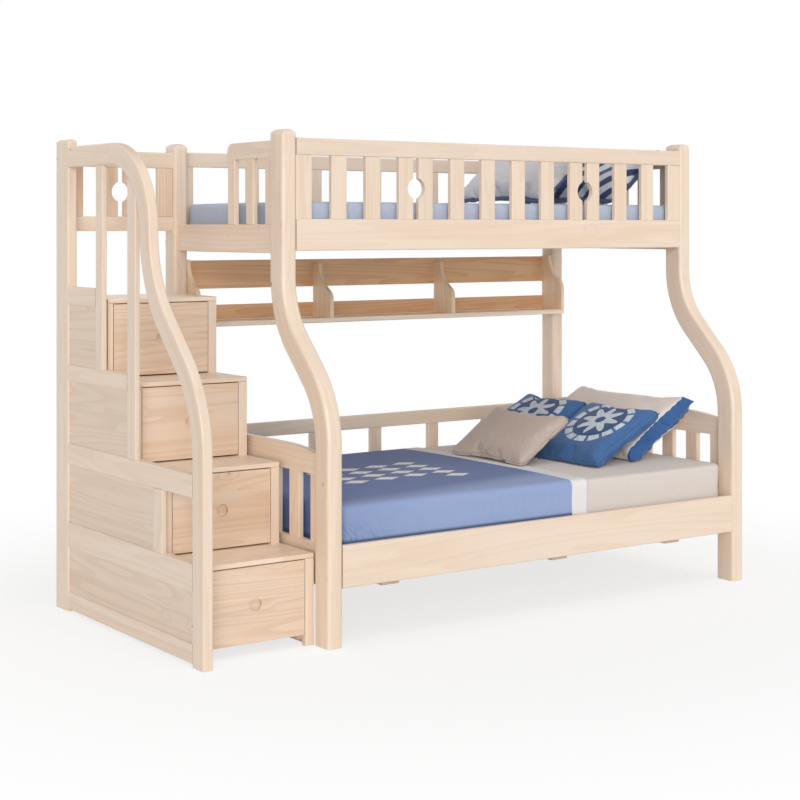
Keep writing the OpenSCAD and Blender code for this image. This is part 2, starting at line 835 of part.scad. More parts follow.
module balusters() color(pine) {
  x = (newel_thickness - side_rail_thickness) / 2 + 1;
  bar_z([x, short_baluster_y, side_top(0)],
    [baluster_thickness, baluster_width,
      side_top(1) - side_rail_heights[1] - side_top(0)], slat_rounding);
  // The middle baluster is scribed to the underside of the newel's arc
  intersection() {
    bar_z([x, middle_baluster_y, side_top(1)],
      [baluster_thickness, baluster_width,
        newel_spring + newel_arc - side_top(1)], slat_rounding);
    union() {
      cube([newel_thickness, stair_post_front, newel_spring]);
      translate([0, arc_centre_y, newel_spring]) rotate([0, 90, 0])
        cylinder(r = newel_arc - newel_depth / 2 - scribe_gap,
          h = newel_thickness, $fn = 180);
    }
  }
  bar_z([x, long_baluster_y, side_top(2)],
    [baluster_thickness, long_baluster, handrail_bottom - side_top(2)],
    slat_rounding);
}

module stair_treads() color(pine)
  for (n = [0:3])
    bar_x([newel_thickness, riser_y(n), tread_top(n) - tread_thickness],
      [stair_width - newel_thickness,
        cabinet_back - riser_y(n) + (n == 3 ? back_panel : 0),
        tread_thickness], slat_rounding);

module stair_stiles() color(pine)
  for (n = [0:3]) {
    height = tread_top(n) - tread_thickness - step_floor(n);
    translate([newel_thickness, riser_y(n), step_floor(n)])
      cube([outer_stile, stile_thickness, height]);
    translate([stair_width - inner_stile, riser_y(n), step_floor(n)])
      cube([inner_stile, stile_thickness, height]);
  }

module cabinet_sides() color(pale_pine)
  for (n = [0:3], x = [newel_thickness, stair_width - side_panel])
    translate([x, riser_y(n) + stile_thickness, step_floor(n)])
      cube([side_panel, cabinet_back - riser_y(n) - stile_thickness,
        tread_top(n) - tread_thickness - step_floor(n)]);

module stair_back_panel() color(inner_pine)
  translate([newel_thickness, cabinet_back, back_panel_lift])
    cube([stair_width - newel_thickness, back_panel,
      tread_top(3) - tread_thickness - back_panel_lift]);

box_left = newel_thickness + outer_stile + box_gap;
box_right = stair_width - inner_stile - box_gap;

module drawer_runners() color(inner_pine) {
  cleat_y = riser_y(0) + stile_thickness;
  cleat_length = cabinet_back - cleat_y;
  left_x = newel_thickness + side_panel;
  translate([left_x, cleat_y, cleat_top - cleat_height])
    cube([box_left + box_wall - left_x, cleat_length, cleat_height]);
  translate([box_right - box_wall, cleat_y, cleat_top - cleat_height])
    cube([stair_width - side_panel - box_right + box_wall, cleat_length,
      cleat_height]);
  for (n = [1:3], x = [box_left, box_right - box_wall])
    translate([x, riser_y(n) + stile_thickness, tread_top(n - 1)])
      cube([box_wall, cabinet_back - riser_y(n) - stile_thickness,
        runner_height]);
}

module stair_guard_rails() color(pine)
  for (rail = [[stair_guard_low, stair_guard_low_rail],
      [stair_guard_top - stair_guard_rail, stair_guard_rail]])
    bar_x([newel_thickness, cabinet_back, rail[0]],
      [stair_width - newel_thickness, slat_thickness, rail[1]],
      slat_rounding);

module stair_guard_slats() color(pale_pine) {
  bottom = stair_guard_low + stair_guard_low_rail;
  translate([newel_thickness, cabinet_back + slat_thickness / 2, bottom])
    slat_row(stair_guard_widths, stair_width - newel_thickness,
      stair_guard_top - stair_guard_rail - bottom);
}

module drawer_front(n) color(pale_pine) {
  left = newel_thickness + outer_stile + front_gap;
  width = stair_width - inner_stile - front_gap - left;
  top = tread_top(n) - tread_thickness - front_top_gap;
  height = top - front_bottom(n) - running_gap;
  difference() {
    bar_x([left, riser_y(n), front_bottom(n) + running_gap],
      [width, front_thickness, height], slat_rounding / 2);
    translate([left + width / 2, riser_y(n) + finger_depth,
      front_bottom(n) + running_gap + height / 2]) rotate([90, 0, 0])
      cylinder(d = finger_diameter, h = 2 * finger_depth);
  }
}

module drawer_box(n) color(inner_pine) {
  length = box_length(n);
  width = box_right - box_left;
  translate([box_left, riser_y(n) + front_thickness,
    front_bottom(n) + running_gap])
    difference() {
      cube([width, length, box_height]);
      translate([box_wall, box_wall, box_bottom_rise + box_bottom])
        cube([width - 2 * box_wall, length - 2 * box_wall, box_height]);
      translate([box_wall, box_wall, -1])
        cube([width - 2 * box_wall, length - 2 * box_wall,
          box_bottom_rise + 1]);
    }
}

module drawer_front_1() drawer_front(0);
module drawer_front_2() drawer_front(1);
module drawer_front_3() drawer_front(2);
module drawer_front_4() drawer_front(3);
module drawer_box_1() drawer_box(0);
module drawer_box_2() drawer_box(1);
module drawer_box_3() drawer_box(2);
module drawer_box_4() drawer_box(3);

module bed_bolts() color("#9A9C9E") at_all_bolts() bolt();

module barrel_nuts() color("#8A8C8E") at_all_bolts() nut();

// Soft block with rounded corners, slightly hollow sides and a crowned top.
// Its rings follow the same rounded outline, each drawn in by its own amount.
function outline_point(size, r, inset, corner, step) =
  let (k = max(r - inset, 1), a = 90 * corner + 90 * step / 6,
    sx = corner == 0 || corner == 3 ? 1 : -1, sy = corner < 2 ? 1 : -1)
  [size[0] / 2 + sx * (size[0] / 2 - inset - k) + k * cos(a),
   size[1] / 2 + sy * (size[1] / 2 - inset - k) + k * sin(a)];
function soft_rings(height, crown, grow) = [
  [22 - grow, -grow], [5 - grow, 6], [0 - grow, 24],
  [3 - grow, height / 2], [0 - grow, height - 24],
  [5 - grow, height - 6 + grow], [22, height + grow],
  [160, height + crown * 0.6 + grow], [330, height + crown * 0.9 + grow],
  [430, height + crown + grow]];

module soft_block(size, r, crown, grow = 0) {
  rings = soft_rings(size[2], crown, grow);
  points = [for (ring = rings, corner = [0:3], step = [0:6])
    let (p = outline_point(size, r, ring[0], corner, step))
    [p[0], p[1], ring[1]]];
  last = len(rings) - 1;
  sides = [for (k = [0:last - 1], i = [0:27])
    let (a = 28 * k + i, b = 28 * k + (i + 1) % 28)
    each [[a, b + 28, b], [a, a + 28, b + 28]]];
  polyhedron(points, concat([[for (i = [0:27]) i]],
    [[for (i = [27:-1:0]) 28 * last + i]], sides));
}

lower_mattress_at = [berth_start + mattress_play,
  lower_rail_y + rail_thickness + mattress_side_play, lower_slat_top];
lower_mattress_size = [berth_length - 2 * mattress_play,
  back_rail_y - lower_rail_y - rail_thickness - 2 * mattress_side_play,
  lower_mattress];
lower_top = lower_slat_top + lower_mattress + mattress_crown;

module mattress_lower() color("#DAD2CC")
  translate(lower_mattress_at)
    soft_block(lower_mattress_size, mattress_corner, mattress_crown);

module mattress_upper() color("#8FA3C0")
  translate([berth_start + mattress_play,
    upper_rail_y + rail_thickness + upper_side_play, upper_slat_top])
    soft_block([berth_length - 2 * mattress_play,
      back_rail_y - upper_rail_y - rail_thickness - 2 * upper_side_play,
      upper_mattress], mattress_corner, mattress_crown);

module bedspread() color("#6C83B8")
  intersection() {
    difference() {
      translate(lower_mattress_at)
        soft_block(lower_mattress_size, mattress_corner, mattress_crown,
          cloth_gap + spread_thickness);
      translate(lower_mattress_at)
        soft_block(lower_mattress_size, mattress_corner, mattress_crown,
          cloth_gap);
    }
    translate([berth_start, 0, spread_hem])
      cube([spread_length, total_depth, lower_top]);
  }

// Stuffed pillow: seams drawn in between the corners, plump in the middle,
// with a flat border where it has one. Width along Y, height up the slope.
pillow_steps = 12;
function spread(k) = sin(90 * (2 * k / pillow_steps - 1));
function pillow_bulge(u, v, plump) =
  plump / 2 * pow(max(0, (1 - u * u) * (1 - v * v)), 0.55);
function pillow_point(size, plump, draw, border, edge, side, i, j) =
  let (u = spread(i), v = spread(j), bu = min(1, abs(u) / (1 - 2 * border / size[0])),
    bv = min(1, abs(v) / (1 - 2 * border / size[1])))
  [size[0] / 2 * (1 + u * (1 - draw * (1 - v * v))),
   size[1] / 2 * v * (1 - draw * (1 - u * u)),
   side * (edge / 2 + pillow_bulge(bu, bv, plump - edge))];

module pillow(size, plump, draw, border, edge) {
  n = pillow_steps;
  m = n + 1;
  both = m * m;
  points = [for (side = [1, -1], i = [0:n], j = [0:n])
    pillow_point(size, plump, draw, border, edge, side, i, j)];
  faces = [for (i = [0:n - 1], j = [0:n - 1])
    let (a = i * m + j, b = a + m)
    each [[a, a + 1, b + 1], [a, b + 1, b],
      [both + a, both + b + 1, both + a + 1], [both + a, both + b, both + b + 1]]];
  rim = concat([for (j = [0:n]) j], [for (i = [1:n]) i * m + n],
    [for (j = [n - 1:-1:0]) n * m + j], [for (i = [n - 1:-1:1]) i * m]);
  walls = [for (k = [0:len(rim) - 1])
    let (a = rim[k], b = rim[(k + 1) % len(rim)])
    each [[a, both + b, b], [a, both + a, both + b]]];
  polyhedron(points, concat(faces, walls));
}

// Where each pillow leans: middle of its low edge, tilt and turn
module leaning_pillow(at, tilt, turn, size, plump, draw, border, edge)
  translate([berth_end - at[0], total_depth - at[1], at[2]])
    rotate([0, -tilt, turn]) pillow(size, plump, draw, border, edge);

module pillow_beige() color("#D9CFC6")
  leaning_pillow([341, 640, lower_top + 1.2], 34.5, 0, [424, 740], 140, 0.06, 30,
    6);

module pillow_blue_front() color("#3A618F")
  leaning_pillow([590, 840, lower_top + 6.5], 28.5, 0, [430, 430], 110, 0.05, 0,
    8);

module pillow_blue_back() color("#3A618F")
  leaning_pillow([590, 385, lower_top + 6.5], 28.5, 0, [430, 430], 110, 0.05, 0,
    8);

module pillow_taupe() color("#A3948B")
  leaning_pillow([837, 621, lower_top + 7.5], 34, 0, [330, 520], 90, 0.05, 0, 6);

upper_top = upper_slat_top + upper_mattress + mattress_crown;

module pillow_grey() color("#C9C6CC")
  leaning_pillow([680, 490, upper_top - 1.1], 40, 0, [380, 700], 120, 0.06, 30,
    6);

module pillow_striped() color("#7E8BA8")
  leaning_pillow([300, 510, upper_top - 0.5], 38, 0, [400, 700], 130, 0.06, 30,
    6);

// The whole bed stands centred on its origin
module placed() translate([-total_length / 2, -total_depth / 2, 0]) children();

placed() post_front_left();
placed() post_front_right();
placed() post_back_left();
placed() post_back_right();
placed() lower_front_rail();
placed() lower_back_rail();
placed() lower_end_rails();
placed() lower_end_arches();
placed() lower_end_slats();
placed() lower_back_top_rail();
placed() lower_back_uprights();
placed() upper_front_rail();
placed() upper_back_rail();
placed() upper_end_rails();
placed() upper_front_top_rail();
placed() upper_front_slats();
placed() upper_back_top_rail();
placed() upper_back_uprights();
placed() upper_end_top_rails();
placed() upper_end_slats();
placed() slat_ledgers();
placed() lower_bearers();
placed() lower_slats();
placed() upper_slats();
placed() shelf_board();
placed() shelf_uprights();
placed() shelf_back_boards();
placed() stair_back_post();
placed() newel_post();
placed() handrail();
placed() stair_side_rails();
placed() stair_side_panels();
placed() balusters();
placed() stair_treads();
placed() stair_stiles();
placed() cabinet_sides();
placed() stair_back_panel();
placed() drawer_runners();
placed() stair_guard_rails();
placed() stair_guard_slats();
placed() drawer_front_1();
placed() drawer_front_2();
placed() drawer_front_3();
placed() drawer_front_4();
placed() drawer_box_1();
placed() drawer_box_2();
placed() drawer_box_3();
placed() drawer_box_4();
placed() bed_bolts();
placed() barrel_nuts();
placed() mattress_lower();
placed() mattress_upper();
placed() bedspread();
placed() pillow_beige();
placed() pillow_blue_front();
placed() pillow_blue_back();
placed() pillow_taupe();
placed() pillow_grey();
placed() pillow_striped();
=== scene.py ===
# %% [markdown]
# # A pine bunk bed with a staircase of drawers
# The solid parts of the bed come from its construction model as a fixed frame,
# so every board already has its true size and place. This lesson dresses that
# frame: it gives the boards the look of clear-lacquered pine, makes the
# mattresses, the bedspread and the pillows as soft things, and sets up the
# light and the camera. All lengths are in metres.

# %% Load the frame
import math
import bmesh
import bpy
from mathutils import Matrix, Vector, noise


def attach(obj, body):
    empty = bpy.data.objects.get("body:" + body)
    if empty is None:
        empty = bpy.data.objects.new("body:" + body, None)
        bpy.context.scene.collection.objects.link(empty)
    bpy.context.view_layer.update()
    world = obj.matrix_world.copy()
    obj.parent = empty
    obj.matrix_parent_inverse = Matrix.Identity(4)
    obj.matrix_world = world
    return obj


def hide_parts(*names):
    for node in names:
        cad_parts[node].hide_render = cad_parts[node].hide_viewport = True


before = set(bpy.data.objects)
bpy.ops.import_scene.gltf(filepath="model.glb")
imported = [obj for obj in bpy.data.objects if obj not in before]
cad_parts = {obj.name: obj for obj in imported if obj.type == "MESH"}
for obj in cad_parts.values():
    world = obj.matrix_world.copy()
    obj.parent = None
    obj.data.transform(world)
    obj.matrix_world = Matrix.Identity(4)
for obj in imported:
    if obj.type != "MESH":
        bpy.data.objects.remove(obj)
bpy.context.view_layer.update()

print("boards and fittings in the frame:", len(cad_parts))

# %% [markdown]
# ## Small helpers
# Colours are easiest to note as the hex values that a screen shows, but the
# shaders work with linear light, so one function turns the one into the other.
# The second function adds a node, gives it its settings and links what feeds
# it. A shader node is named without its prefix, so "Math" is ShaderNodeMath.
# Inputs come by name, or as a list in their order on the node, so a Map Range
# takes its value, the two ends it comes from and the two it goes to. A node
# given as an input stands for its first live output. The function serves
# material trees and geometry trees alike, which keeps each recipe below short
# enough to read from top to bottom. A Mix of two colours takes its share as
# input 0 and the colours as inputs 6 and 7, because the same node also mixes
# plain numbers, by inputs 2 and 3.

# %% Colours and nodes
def paint(hex_value):
    parts = [int(hex_value[i:i + 2], 16) / 255 for i in (1, 3, 5)]
    return [c / 12.92 if c <= 0.04045 else ((c + 0.055) / 1.055) ** 2.4 for c in parts] + [1]


def add(tree, kind, inputs=(), stops=(), **settings):
    node = tree.nodes.new(kind if "Node" in kind else "ShaderNode" + kind)
    for key, value in settings.items():
        setattr(node, key, value)
    for key, value in inputs.items() if isinstance(inputs, dict) else enumerate(inputs):
        if isinstance(value, bpy.types.Node):
            value = next(output for output in value.outputs if output.enabled)
        if isinstance(value, bpy.types.NodeSocket):
            tree.links.new(value, node.inputs[key])
        else:
            node.inputs[key].default_value = value
    for i, (place, colour) in enumerate(stops):
        stop = node.color_ramp.elements[i] if i < 2 else node.color_ramp.elements.new(place)
        stop.position, stop.color = place, paint(colour)
    return node


def finish_named(name):
    """A new material and its empty tree."""
    material = bpy.data.materials.new(name)
    material.use_nodes = True
    tree = material.node_tree
    tree.nodes.clear()
    return material, tree


print("a lacquered pine tone in linear light:", [round(c, 3) for c in paint("#EBD6C0")])

# %% [markdown]
# ## Pine, board by board
# Pine is pale early wood with thin, darker late-wood lines. On a sawn face they
# run nearly straight along the board or close into long pointed arches. They
# are the contour lines of a slowly changing field, so the recipe stretches a
# noise along the grain and cuts it into contours. A fine fibre runs on top,
# knots bend the lines round themselves, and each board takes its own stretch
# of the field, because two boards of one rail never came out of the same
# place in the trunk. The clear satin lacquer is a thin coat over it.
# All of it reads the object's own coordinates, so the grain stays on the board.

# %% Lacquered pine
PALE, LATE, WARM, KNOT, END = "#EEDBC9", "#DDC1A8", "#E7CDB5", "#8F6A4C", "#C4AD99"


def pine(name, grain, row, board, start, rings, lines, knots,
         early=PALE, late=LATE, warm=WARM, coat=0.22, centre=None):
    """grain: axis along the fibre. row: axis across the boards, each `board` wide,
    the first from `start`. rings and lines: how many, how dark. knots: share of the
    cells that hold one. centre: what straightens a bent member."""
    material, tree = finish_named(name)
    axes = add(tree, "SeparateXYZ", [add(tree, "TexCoord").outputs["Object"]]).outputs
    along, across = axes[grain], axes[row]
    other = axes[({"X", "Y", "Z"} - {grain, row}).pop()]
    if centre:
        along, across = centre(tree, axes)
    place = add(tree, "Math", [across, start], operation="SUBTRACT")
    place = add(tree, "Math", [place, board], operation="DIVIDE")
    number = add(tree, "Math", [place], operation="FLOOR")
    own = add(tree, "TexWhiteNoise", {"W": number}, noise_dimensions="1D")
    shift = add(tree, "Math", [own, 9.0, along], operation="MULTIPLY_ADD")
    aside = add(tree, "Math", [own, 3.7, across], operation="MULTIPLY_ADD")
    spot = add(tree, "CombineXYZ", [aside, other, shift])

    # knots: a few cells of a grid of random points, longer along the fibre
    cells = add(tree, "VectorMath", [spot, (7.5, 7.5, 4.2)], operation="MULTIPLY")
    cells = add(tree, "TexVoronoi", {"Vector": cells, "Scale": 1.0})
    chance = add(tree, "SeparateColor", [cells.outputs["Color"]])
    here = add(tree, "Math", [chance, knots], operation="LESS_THAN")
    near = add(tree, "MapRange", [cells, 0.025, 0.055, 1.0, 0.0],
               interpolation_type="SMOOTHSTEP")
    round_it = add(tree, "MapRange", [cells, 0.0, 0.30, 0.12, 0.0],
                   interpolation_type="SMOOTHSTEP")
    knot = add(tree, "Math", [near, here], operation="MULTIPLY")
    bend = add(tree, "Math", [round_it, here], operation="MULTIPLY")

    # growth rings: contours of a field 20 times longer than it is wide
    field = add(tree, "VectorMath", [spot, (9.0, 9.0, 0.45)], operation="MULTIPLY")
    field = add(tree, "TexNoise", {
        "Vector": field, "Scale": 1.0, "Detail": 1.0, "Roughness": 0.35, "Distortion": 0.1})
    field = add(tree, "Math", [field, bend], operation="ADD")
    level = add(tree, "Math", [field, rings], operation="MULTIPLY")
    ring = add(tree, "Math", [level], operation="FRACT")
    ring = add(tree, "MapRange", [ring, 0.25, 1.0, 0.0, lines],
               interpolation_type="SMOOTHERSTEP")

    # heartwood warms the board in wide, soft streaks
    heart = add(tree, "VectorMath", [spot, (11.0, 11.0, 0.8)], operation="MULTIPLY")
    heart = add(tree, "TexNoise", {"Vector": heart, "Scale": 1.0, "Detail": 2.0})
    heart = add(tree, "MapRange", [heart, 0.46, 0.72, 0.0, 0.6])
    # fibre: 0.4 mm in the wood, drawn 3 mm wide so that it shows from the camera
    fibre = add(tree, "VectorMath", [spot, (330.0, 330.0, 6.0)], operation="MULTIPLY")
    fibre = add(tree, "TexNoise", {"Vector": fibre, "Scale": 1.0, "Detail": 3.0})

    # where the face cuts across the fibre, the wood drinks more lacquer and looks greyer
    faces = add(tree, "SeparateXYZ", [add(tree, "TexCoord").outputs["Normal"]]).outputs
    cut = add(tree, "Math", [faces[grain]], operation="ABSOLUTE")
    cut = add(tree, "MapRange", [cut, 0.72, 1.0, 0.0, 0.75])

    colour = paint(early)
    for share, over in ((heart, warm), (ring, late), (knot, KNOT), (cut, END)):
        colour = add(tree, "Mix", {0: share, 6: colour, 7: paint(over)}, data_type="RGBA")
    tone = add(tree, "MapRange", [own, 0.0, 1.0, 0.965, 1.02])
    shade = add(tree, "MapRange", [fibre, 0.3, 0.7, 0.965, 1.02])
    value = add(tree, "Math", [tone, shade], operation="MULTIPLY")
    colour = add(tree, "HueSaturation", {"Color": colour, "Value": value})
    gloss = add(tree, "MapRange", [fibre, 0.3, 0.7, 0.48, 0.38])
    relief = add(tree, "Math", [ring, 0.4, fibre], operation="MULTIPLY_ADD")
    bump = add(tree, "Bump", {"Strength": 0.12, "Distance": 0.0004, "Height": relief})
    wood = add(tree, "BsdfPrincipled", {
        "Base Color": colour, "Roughness": gloss, "IOR": 1.5, "Coat Weight": coat,
        "Coat Roughness": 0.22, "Coat IOR": 1.5, "Normal": bump})
    add(tree, "OutputMaterial", [wood])
    return material


print("pine recipe ready")

# %% [markdown]
# ## Bent members
# The front posts and the newel are cut from glued-up blanks that follow an S,
# so their grain swings with them. The recipe straightens the coordinates
# first: a curve gives the middle of the post at each height, and the distance
# from that middle takes the place of the depth. Round the top of the newel the
# fibre follows the arc, so there the angle round the centre of the arc is the
# length along the grain.

# %% The middle lines of the bent members
def s_middle(front, shift, radius, lean, middle):
    """Points (height, middle in Y) of an S that starts upright at `front`."""
    a = math.radians(lean)
    run = (shift - 2 * radius * (1 - math.cos(a))) / math.sin(a)
    half = radius * math.sin(a) + run * math.cos(a) / 2
    points = []
    for i in range(9):
        b = a * i / 8
        points.append((middle - half + radius * math.sin(b), front + radius * (1 - math.cos(b))))
    return points + [(2 * middle - z, 2 * front + shift - y) for z, y in reversed(points)]


# sizes are read from the bed's front left corner; the frame's own middle lies here
MID_X, MID_Y = 1.3205, 0.6455
POST_MIDDLE = s_middle(0.056 - MID_Y, 0.320, 0.350, 45, 1.0325)
NEWEL_MIDDLE = s_middle(0.041 - MID_Y, 0.410, 0.465, 45, 1.11439)
ARC_CENTRE = (0.742 - MID_Y, 1.512)
ARC_RADIUS = 0.291


def along_the_bend(points, arc=None):
    def straighten(tree, axes):
        low, high = points[0], points[-1]
        share = add(tree, "MapRange", [axes["Z"], low[0], high[0], 0.0, 1.0])
        path = add(tree, "FloatCurve", {"Value": share})
        curve = path.mapping.curves[0]
        for z, y in points[1:-1]:
            curve.points.new((z - low[0]) / (high[0] - low[0]), (y - low[1]) / (high[1] - low[1]))
        for point in curve.points:
            point.handle_type = "AUTO_CLAMPED"
        path.mapping.update()
        middle = add(tree, "MapRange", [path, 0.0, 1.0, low[1], high[1]])
        across = add(tree, "Math", [axes["Y"], middle], operation="SUBTRACT")
        along = axes["Z"]
        if arc:
            back = add(tree, "Math", [arc[0], axes["Y"]], operation="SUBTRACT")
            up = add(tree, "Math", [axes["Z"], arc[1]], operation="SUBTRACT")
            flat = add(tree, "CombineXYZ", [back, up])
            reach = add(tree, "VectorMath", [flat], operation="LENGTH")
            angle = add(tree, "Math", [up, back], operation="ARCTAN2")
            length = add(tree, "Math", [angle, ARC_RADIUS, arc[1]], operation="MULTIPLY_ADD")
            out = add(tree, "Math", [ARC_RADIUS, reach], operation="SUBTRACT")
            over = add(tree, "Math", [axes["Z"], arc[1]], operation="GREATER_THAN")
            across = add(tree, "Mix", {0: over, 2: across, 3: out})
            along = add(tree, "Mix", {0: over, 2: along, 3: length})
        return along, across
    return straighten


print("the post swings back by", round(POST_MIDDLE[-1][1] - POST_MIDDLE[0][1], 3), "m")

# %% [markdown]
# ## Which board gets which pine
# Rails are single boards with quiet grain. Treads, drawer fronts and side
# panels are glued from narrower boards and show more figure and more knots,
# as on the real bed. Slats take their own piece of the field from where they
# stand in their row. Parts that nobody sees are planed but not lacquered.
# Some boards carry painted light or shade in their tones: the lower back rails
# and the shelf board, deep under the upper berth, are lighter, the shelf's
# cheeks lighter and warmer, and its back boards and the stair guard's slats
# darker and warmer.

# %% Pine on every board
PLANED = {"rings": 16, "lines": 0.6, "knots": 0.2, "coat": 0.0,
          "early": "#E6CDB0", "late": "#CBA57F", "warm": "#DDBB98"}
woods = {
    "bent_posts": pine("lacquered_pine_bent_post", "Z", "Y", 0.049, -0.049, 10, 0.22, 0.50,
                       centre=along_the_bend(POST_MIDDLE)),
    "newel": pine("lacquered_pine_newel", "Z", "Y", 0.041, -0.041, 10, 0.22, 0.50,
                  centre=along_the_bend(NEWEL_MIDDLE, ARC_CENTRE)),
    "posts": pine("lacquered_pine_post", "Z", "Y", 0.045, 0.0105, 12, 0.28, 0.50),
    "long_rails": pine("lacquered_pine_long_rail", "X", "Z", 0.4, 0.1, 12, 0.22, 0.45),
    "cross_rails": pine("lacquered_pine_cross_rail", "Y", "Z", 0.16, 0.05, 12, 0.30, 0.50),
    "front_slats": pine("lacquered_pine_front_slat", "Z", "X", 0.12, 0.02, 12, 0.24, 0.06),
    # painted shade: the stair guard's slats get a darker, warmer pine that stands for the shade
    # they stand in
    "guard_slats": pine("lacquered_pine_guard_slat_painted_shade", "Z", "X", 0.12, 0.02, 12, 0.35, 0.08,
                        early="#EBD2BC", late="#D4AE8C", warm="#E0BC9C"),
    "end_slats": pine("lacquered_pine_end_slat", "Z", "Y", 0.125, 0.03, 12, 0.26, 0.06),
    # painted light: the lower back rails, deep under the upper berth, get a lighter pine that
    # lifts their shade
    "back_rails": pine("lacquered_pine_back_rail_painted_light", "X", "Z", 0.4, 0.1, 12, 0.26, 0.07,
                       early="#F8E9D6", late="#E6CBB0"),
    # painted light: the shelf board under the upper berth is lighter in the same way
    "shelf": pine("lacquered_pine_shelf_painted_light", "X", "Y", 0.075, 0.02, 14, 0.30, 0.08,
                  early="#F8E9D6", late="#E2C6AA"),
    # painted light: the shelf's cheeks are lighter and warmer, as if lit by warm light bounced
    # between the boards
    "cheeks": pine("lacquered_pine_cheek_painted_light", "Z", "Y", 0.12, 0.02, 12, 0.30, 0.08,
                   early="#FAE2C6", late="#E2B98E"),
    # painted shade: the shelf's back boards are darker and warmer, for the shade between the
    # boards and its warm bounced light
    "back_boards": pine("lacquered_pine_back_board_painted_shade", "X", "Z", 0.07, 0.03, 14, 0.40, 0.10,
                        early="#E9BF94", late="#CC935F", warm="#DCA671"),
    "treads": pine("lacquered_pine_tread", "X", "Y", 0.085, 0.01, 14, 0.40, 0.40,
                   early="#F6E3CF", late="#DCBB9C"),
    "fronts": pine("lacquered_pine_drawer_front", "X", "Z", 0.088, 0.02, 14, 0.36, 0.50,
                   early="#E7D0BB", late="#D0AA88", warm="#DDBA99"),
    "side_panels": pine("lacquered_pine_side_panel", "Y", "Z", 0.083, 0.01, 14, 0.34, 0.50,
                        early="#E4D0BD", late="#D2B59A"),
    "inner_across": pine("planed_pine_slat", "Y", "X", 0.143, 0.0, **PLANED),
    "inner_along": pine("planed_pine_ledger", "X", "Z", 0.2, 0.0, **PLANED),
}
wearers = {
    "bent_posts": ["post_front_left", "post_front_right"],
    "newel": ["newel_post"],
    "posts": ["post_back_left", "post_back_right", "stair_back_post"],
    "long_rails": ["lower_front_rail", "upper_front_rail", "upper_back_rail",
                   "upper_front_top_rail", "upper_back_top_rail", "stair_guard_rails"],
    "back_rails": ["lower_back_rail", "lower_back_top_rail"],
    "cross_rails": ["lower_end_rails", "upper_end_rails", "upper_end_top_rails",
                    "lower_end_arches", "handrail", "stair_side_rails"],
    "front_slats": ["upper_front_slats", "upper_back_uprights", "lower_back_uprights",
                    "stair_stiles"],
    "guard_slats": ["stair_guard_slats"],
    "cheeks": ["shelf_uprights"],
    "end_slats": ["lower_end_slats", "upper_end_slats", "balusters"],
    "shelf": ["shelf_board"],
    "back_boards": ["shelf_back_boards"],
    "treads": ["stair_treads"],
    "fronts": ["drawer_front_1", "drawer_front_2", "drawer_front_3", "drawer_front_4"],
    "side_panels": ["stair_side_panels", "cabinet_sides"],
    "inner_across": ["lower_slats", "upper_slats", "lower_bearers", "drawer_runners",
                     "drawer_box_1", "drawer_box_2", "drawer_box_3", "drawer_box_4"],
    "inner_along": ["slat_ledgers", "stair_back_panel"],
}


def dress(node, material):
    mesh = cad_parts[node].data
    mesh.materials.clear()
    mesh.materials.append(material)


for wood, nodes in wearers.items():
    for node in nodes:
        dress(node, woods[wood])
print("wooden nodes dressed:", sum(len(nodes) for nodes in wearers.values()))

# %% [markdown]
# ## Zinc-plated steel
# The bed bolts and their barrel nuts are turned from steel and plated with
# zinc: a cool grey metal, a little cloudy, with fine marks from turning.

# %% Bolts and nuts
zinc, tree = finish_named("zinc_plated_steel")
spot = add(tree, "TexCoord").outputs["Object"]
cloud = add(tree, "TexNoise", {"Vector": spot, "Scale": 180.0, "Detail": 3.0})
tint = add(tree, "ValToRGB", [cloud], stops=[(0.3, "#A9ACAE"), (0.7, "#C6C8C9")])
gloss = add(tree, "MapRange", [cloud, 0.0, 1.0, 0.26, 0.44])
steel = add(tree, "BsdfPrincipled", {"Base Color": tint, "Metallic": 1.0, "Roughness": gloss})
add(tree, "OutputMaterial", [steel])
for node in ("bed_bolts", "barrel_nuts"):
    dress(node, zinc)
print("fittings dressed")

# %% [markdown]
# ## Cover caps
# Each bolt head lies sunk in its hole, and a thin pine disc covers it. All
# sixteen discs are the same turned piece, so a Geometry Nodes tree makes one
# and sets it on every hole. The holes lie a quarter and three quarters up
# each long rail, in the middle of its thickness.
#
# The piping and the stitches further down are made in the same way, so the
# steps that all three share come first: a tree starts with named inputs and
# ends by turning its copies into real faces with a material, and what it
# makes of a few points becomes the plain mesh of an object.

# %% Geometry Nodes trees
def start_tree(name, **inputs):
    """A tree that takes a shape and the named inputs, each with its kind."""
    tree = bpy.data.node_groups.new(name, "GeometryNodeTree")
    for key, kind in {"Geometry": "Geometry", **inputs}.items():
        tree.interface.new_socket(key.replace("_", " "), in_out="INPUT",
                                  socket_type="NodeSocket" + kind)
    tree.interface.new_socket("Geometry", in_out="OUTPUT", socket_type="NodeSocketGeometry")
    return tree, add(tree, "NodeGroupInput").outputs


def end_tree(tree, shape, finish, smooth=False):
    real = add(tree, "GeometryNodeRealizeInstances", {"Geometry": shape})
    if smooth:
        real = add(tree, "GeometryNodeSetShadeSmooth", {"Geometry": real})
    done = add(tree, "GeometryNodeSetMaterial", {"Geometry": real, "Material": finish})
    add(tree, "NodeGroupOutput", [done])
    return tree


def put_in_scene(name, data):
    thing = bpy.data.objects.new(name, data)
    bpy.context.scene.collection.objects.link(thing)
    return thing


def apply_all(thing):
    """Turn what the modifiers make into the object's own plain mesh."""
    ready = thing.evaluated_get(bpy.context.evaluated_depsgraph_get())
    mesh = bpy.data.meshes.new_from_object(ready)
    thing.modifiers.clear()
    thing.data = mesh
    return thing


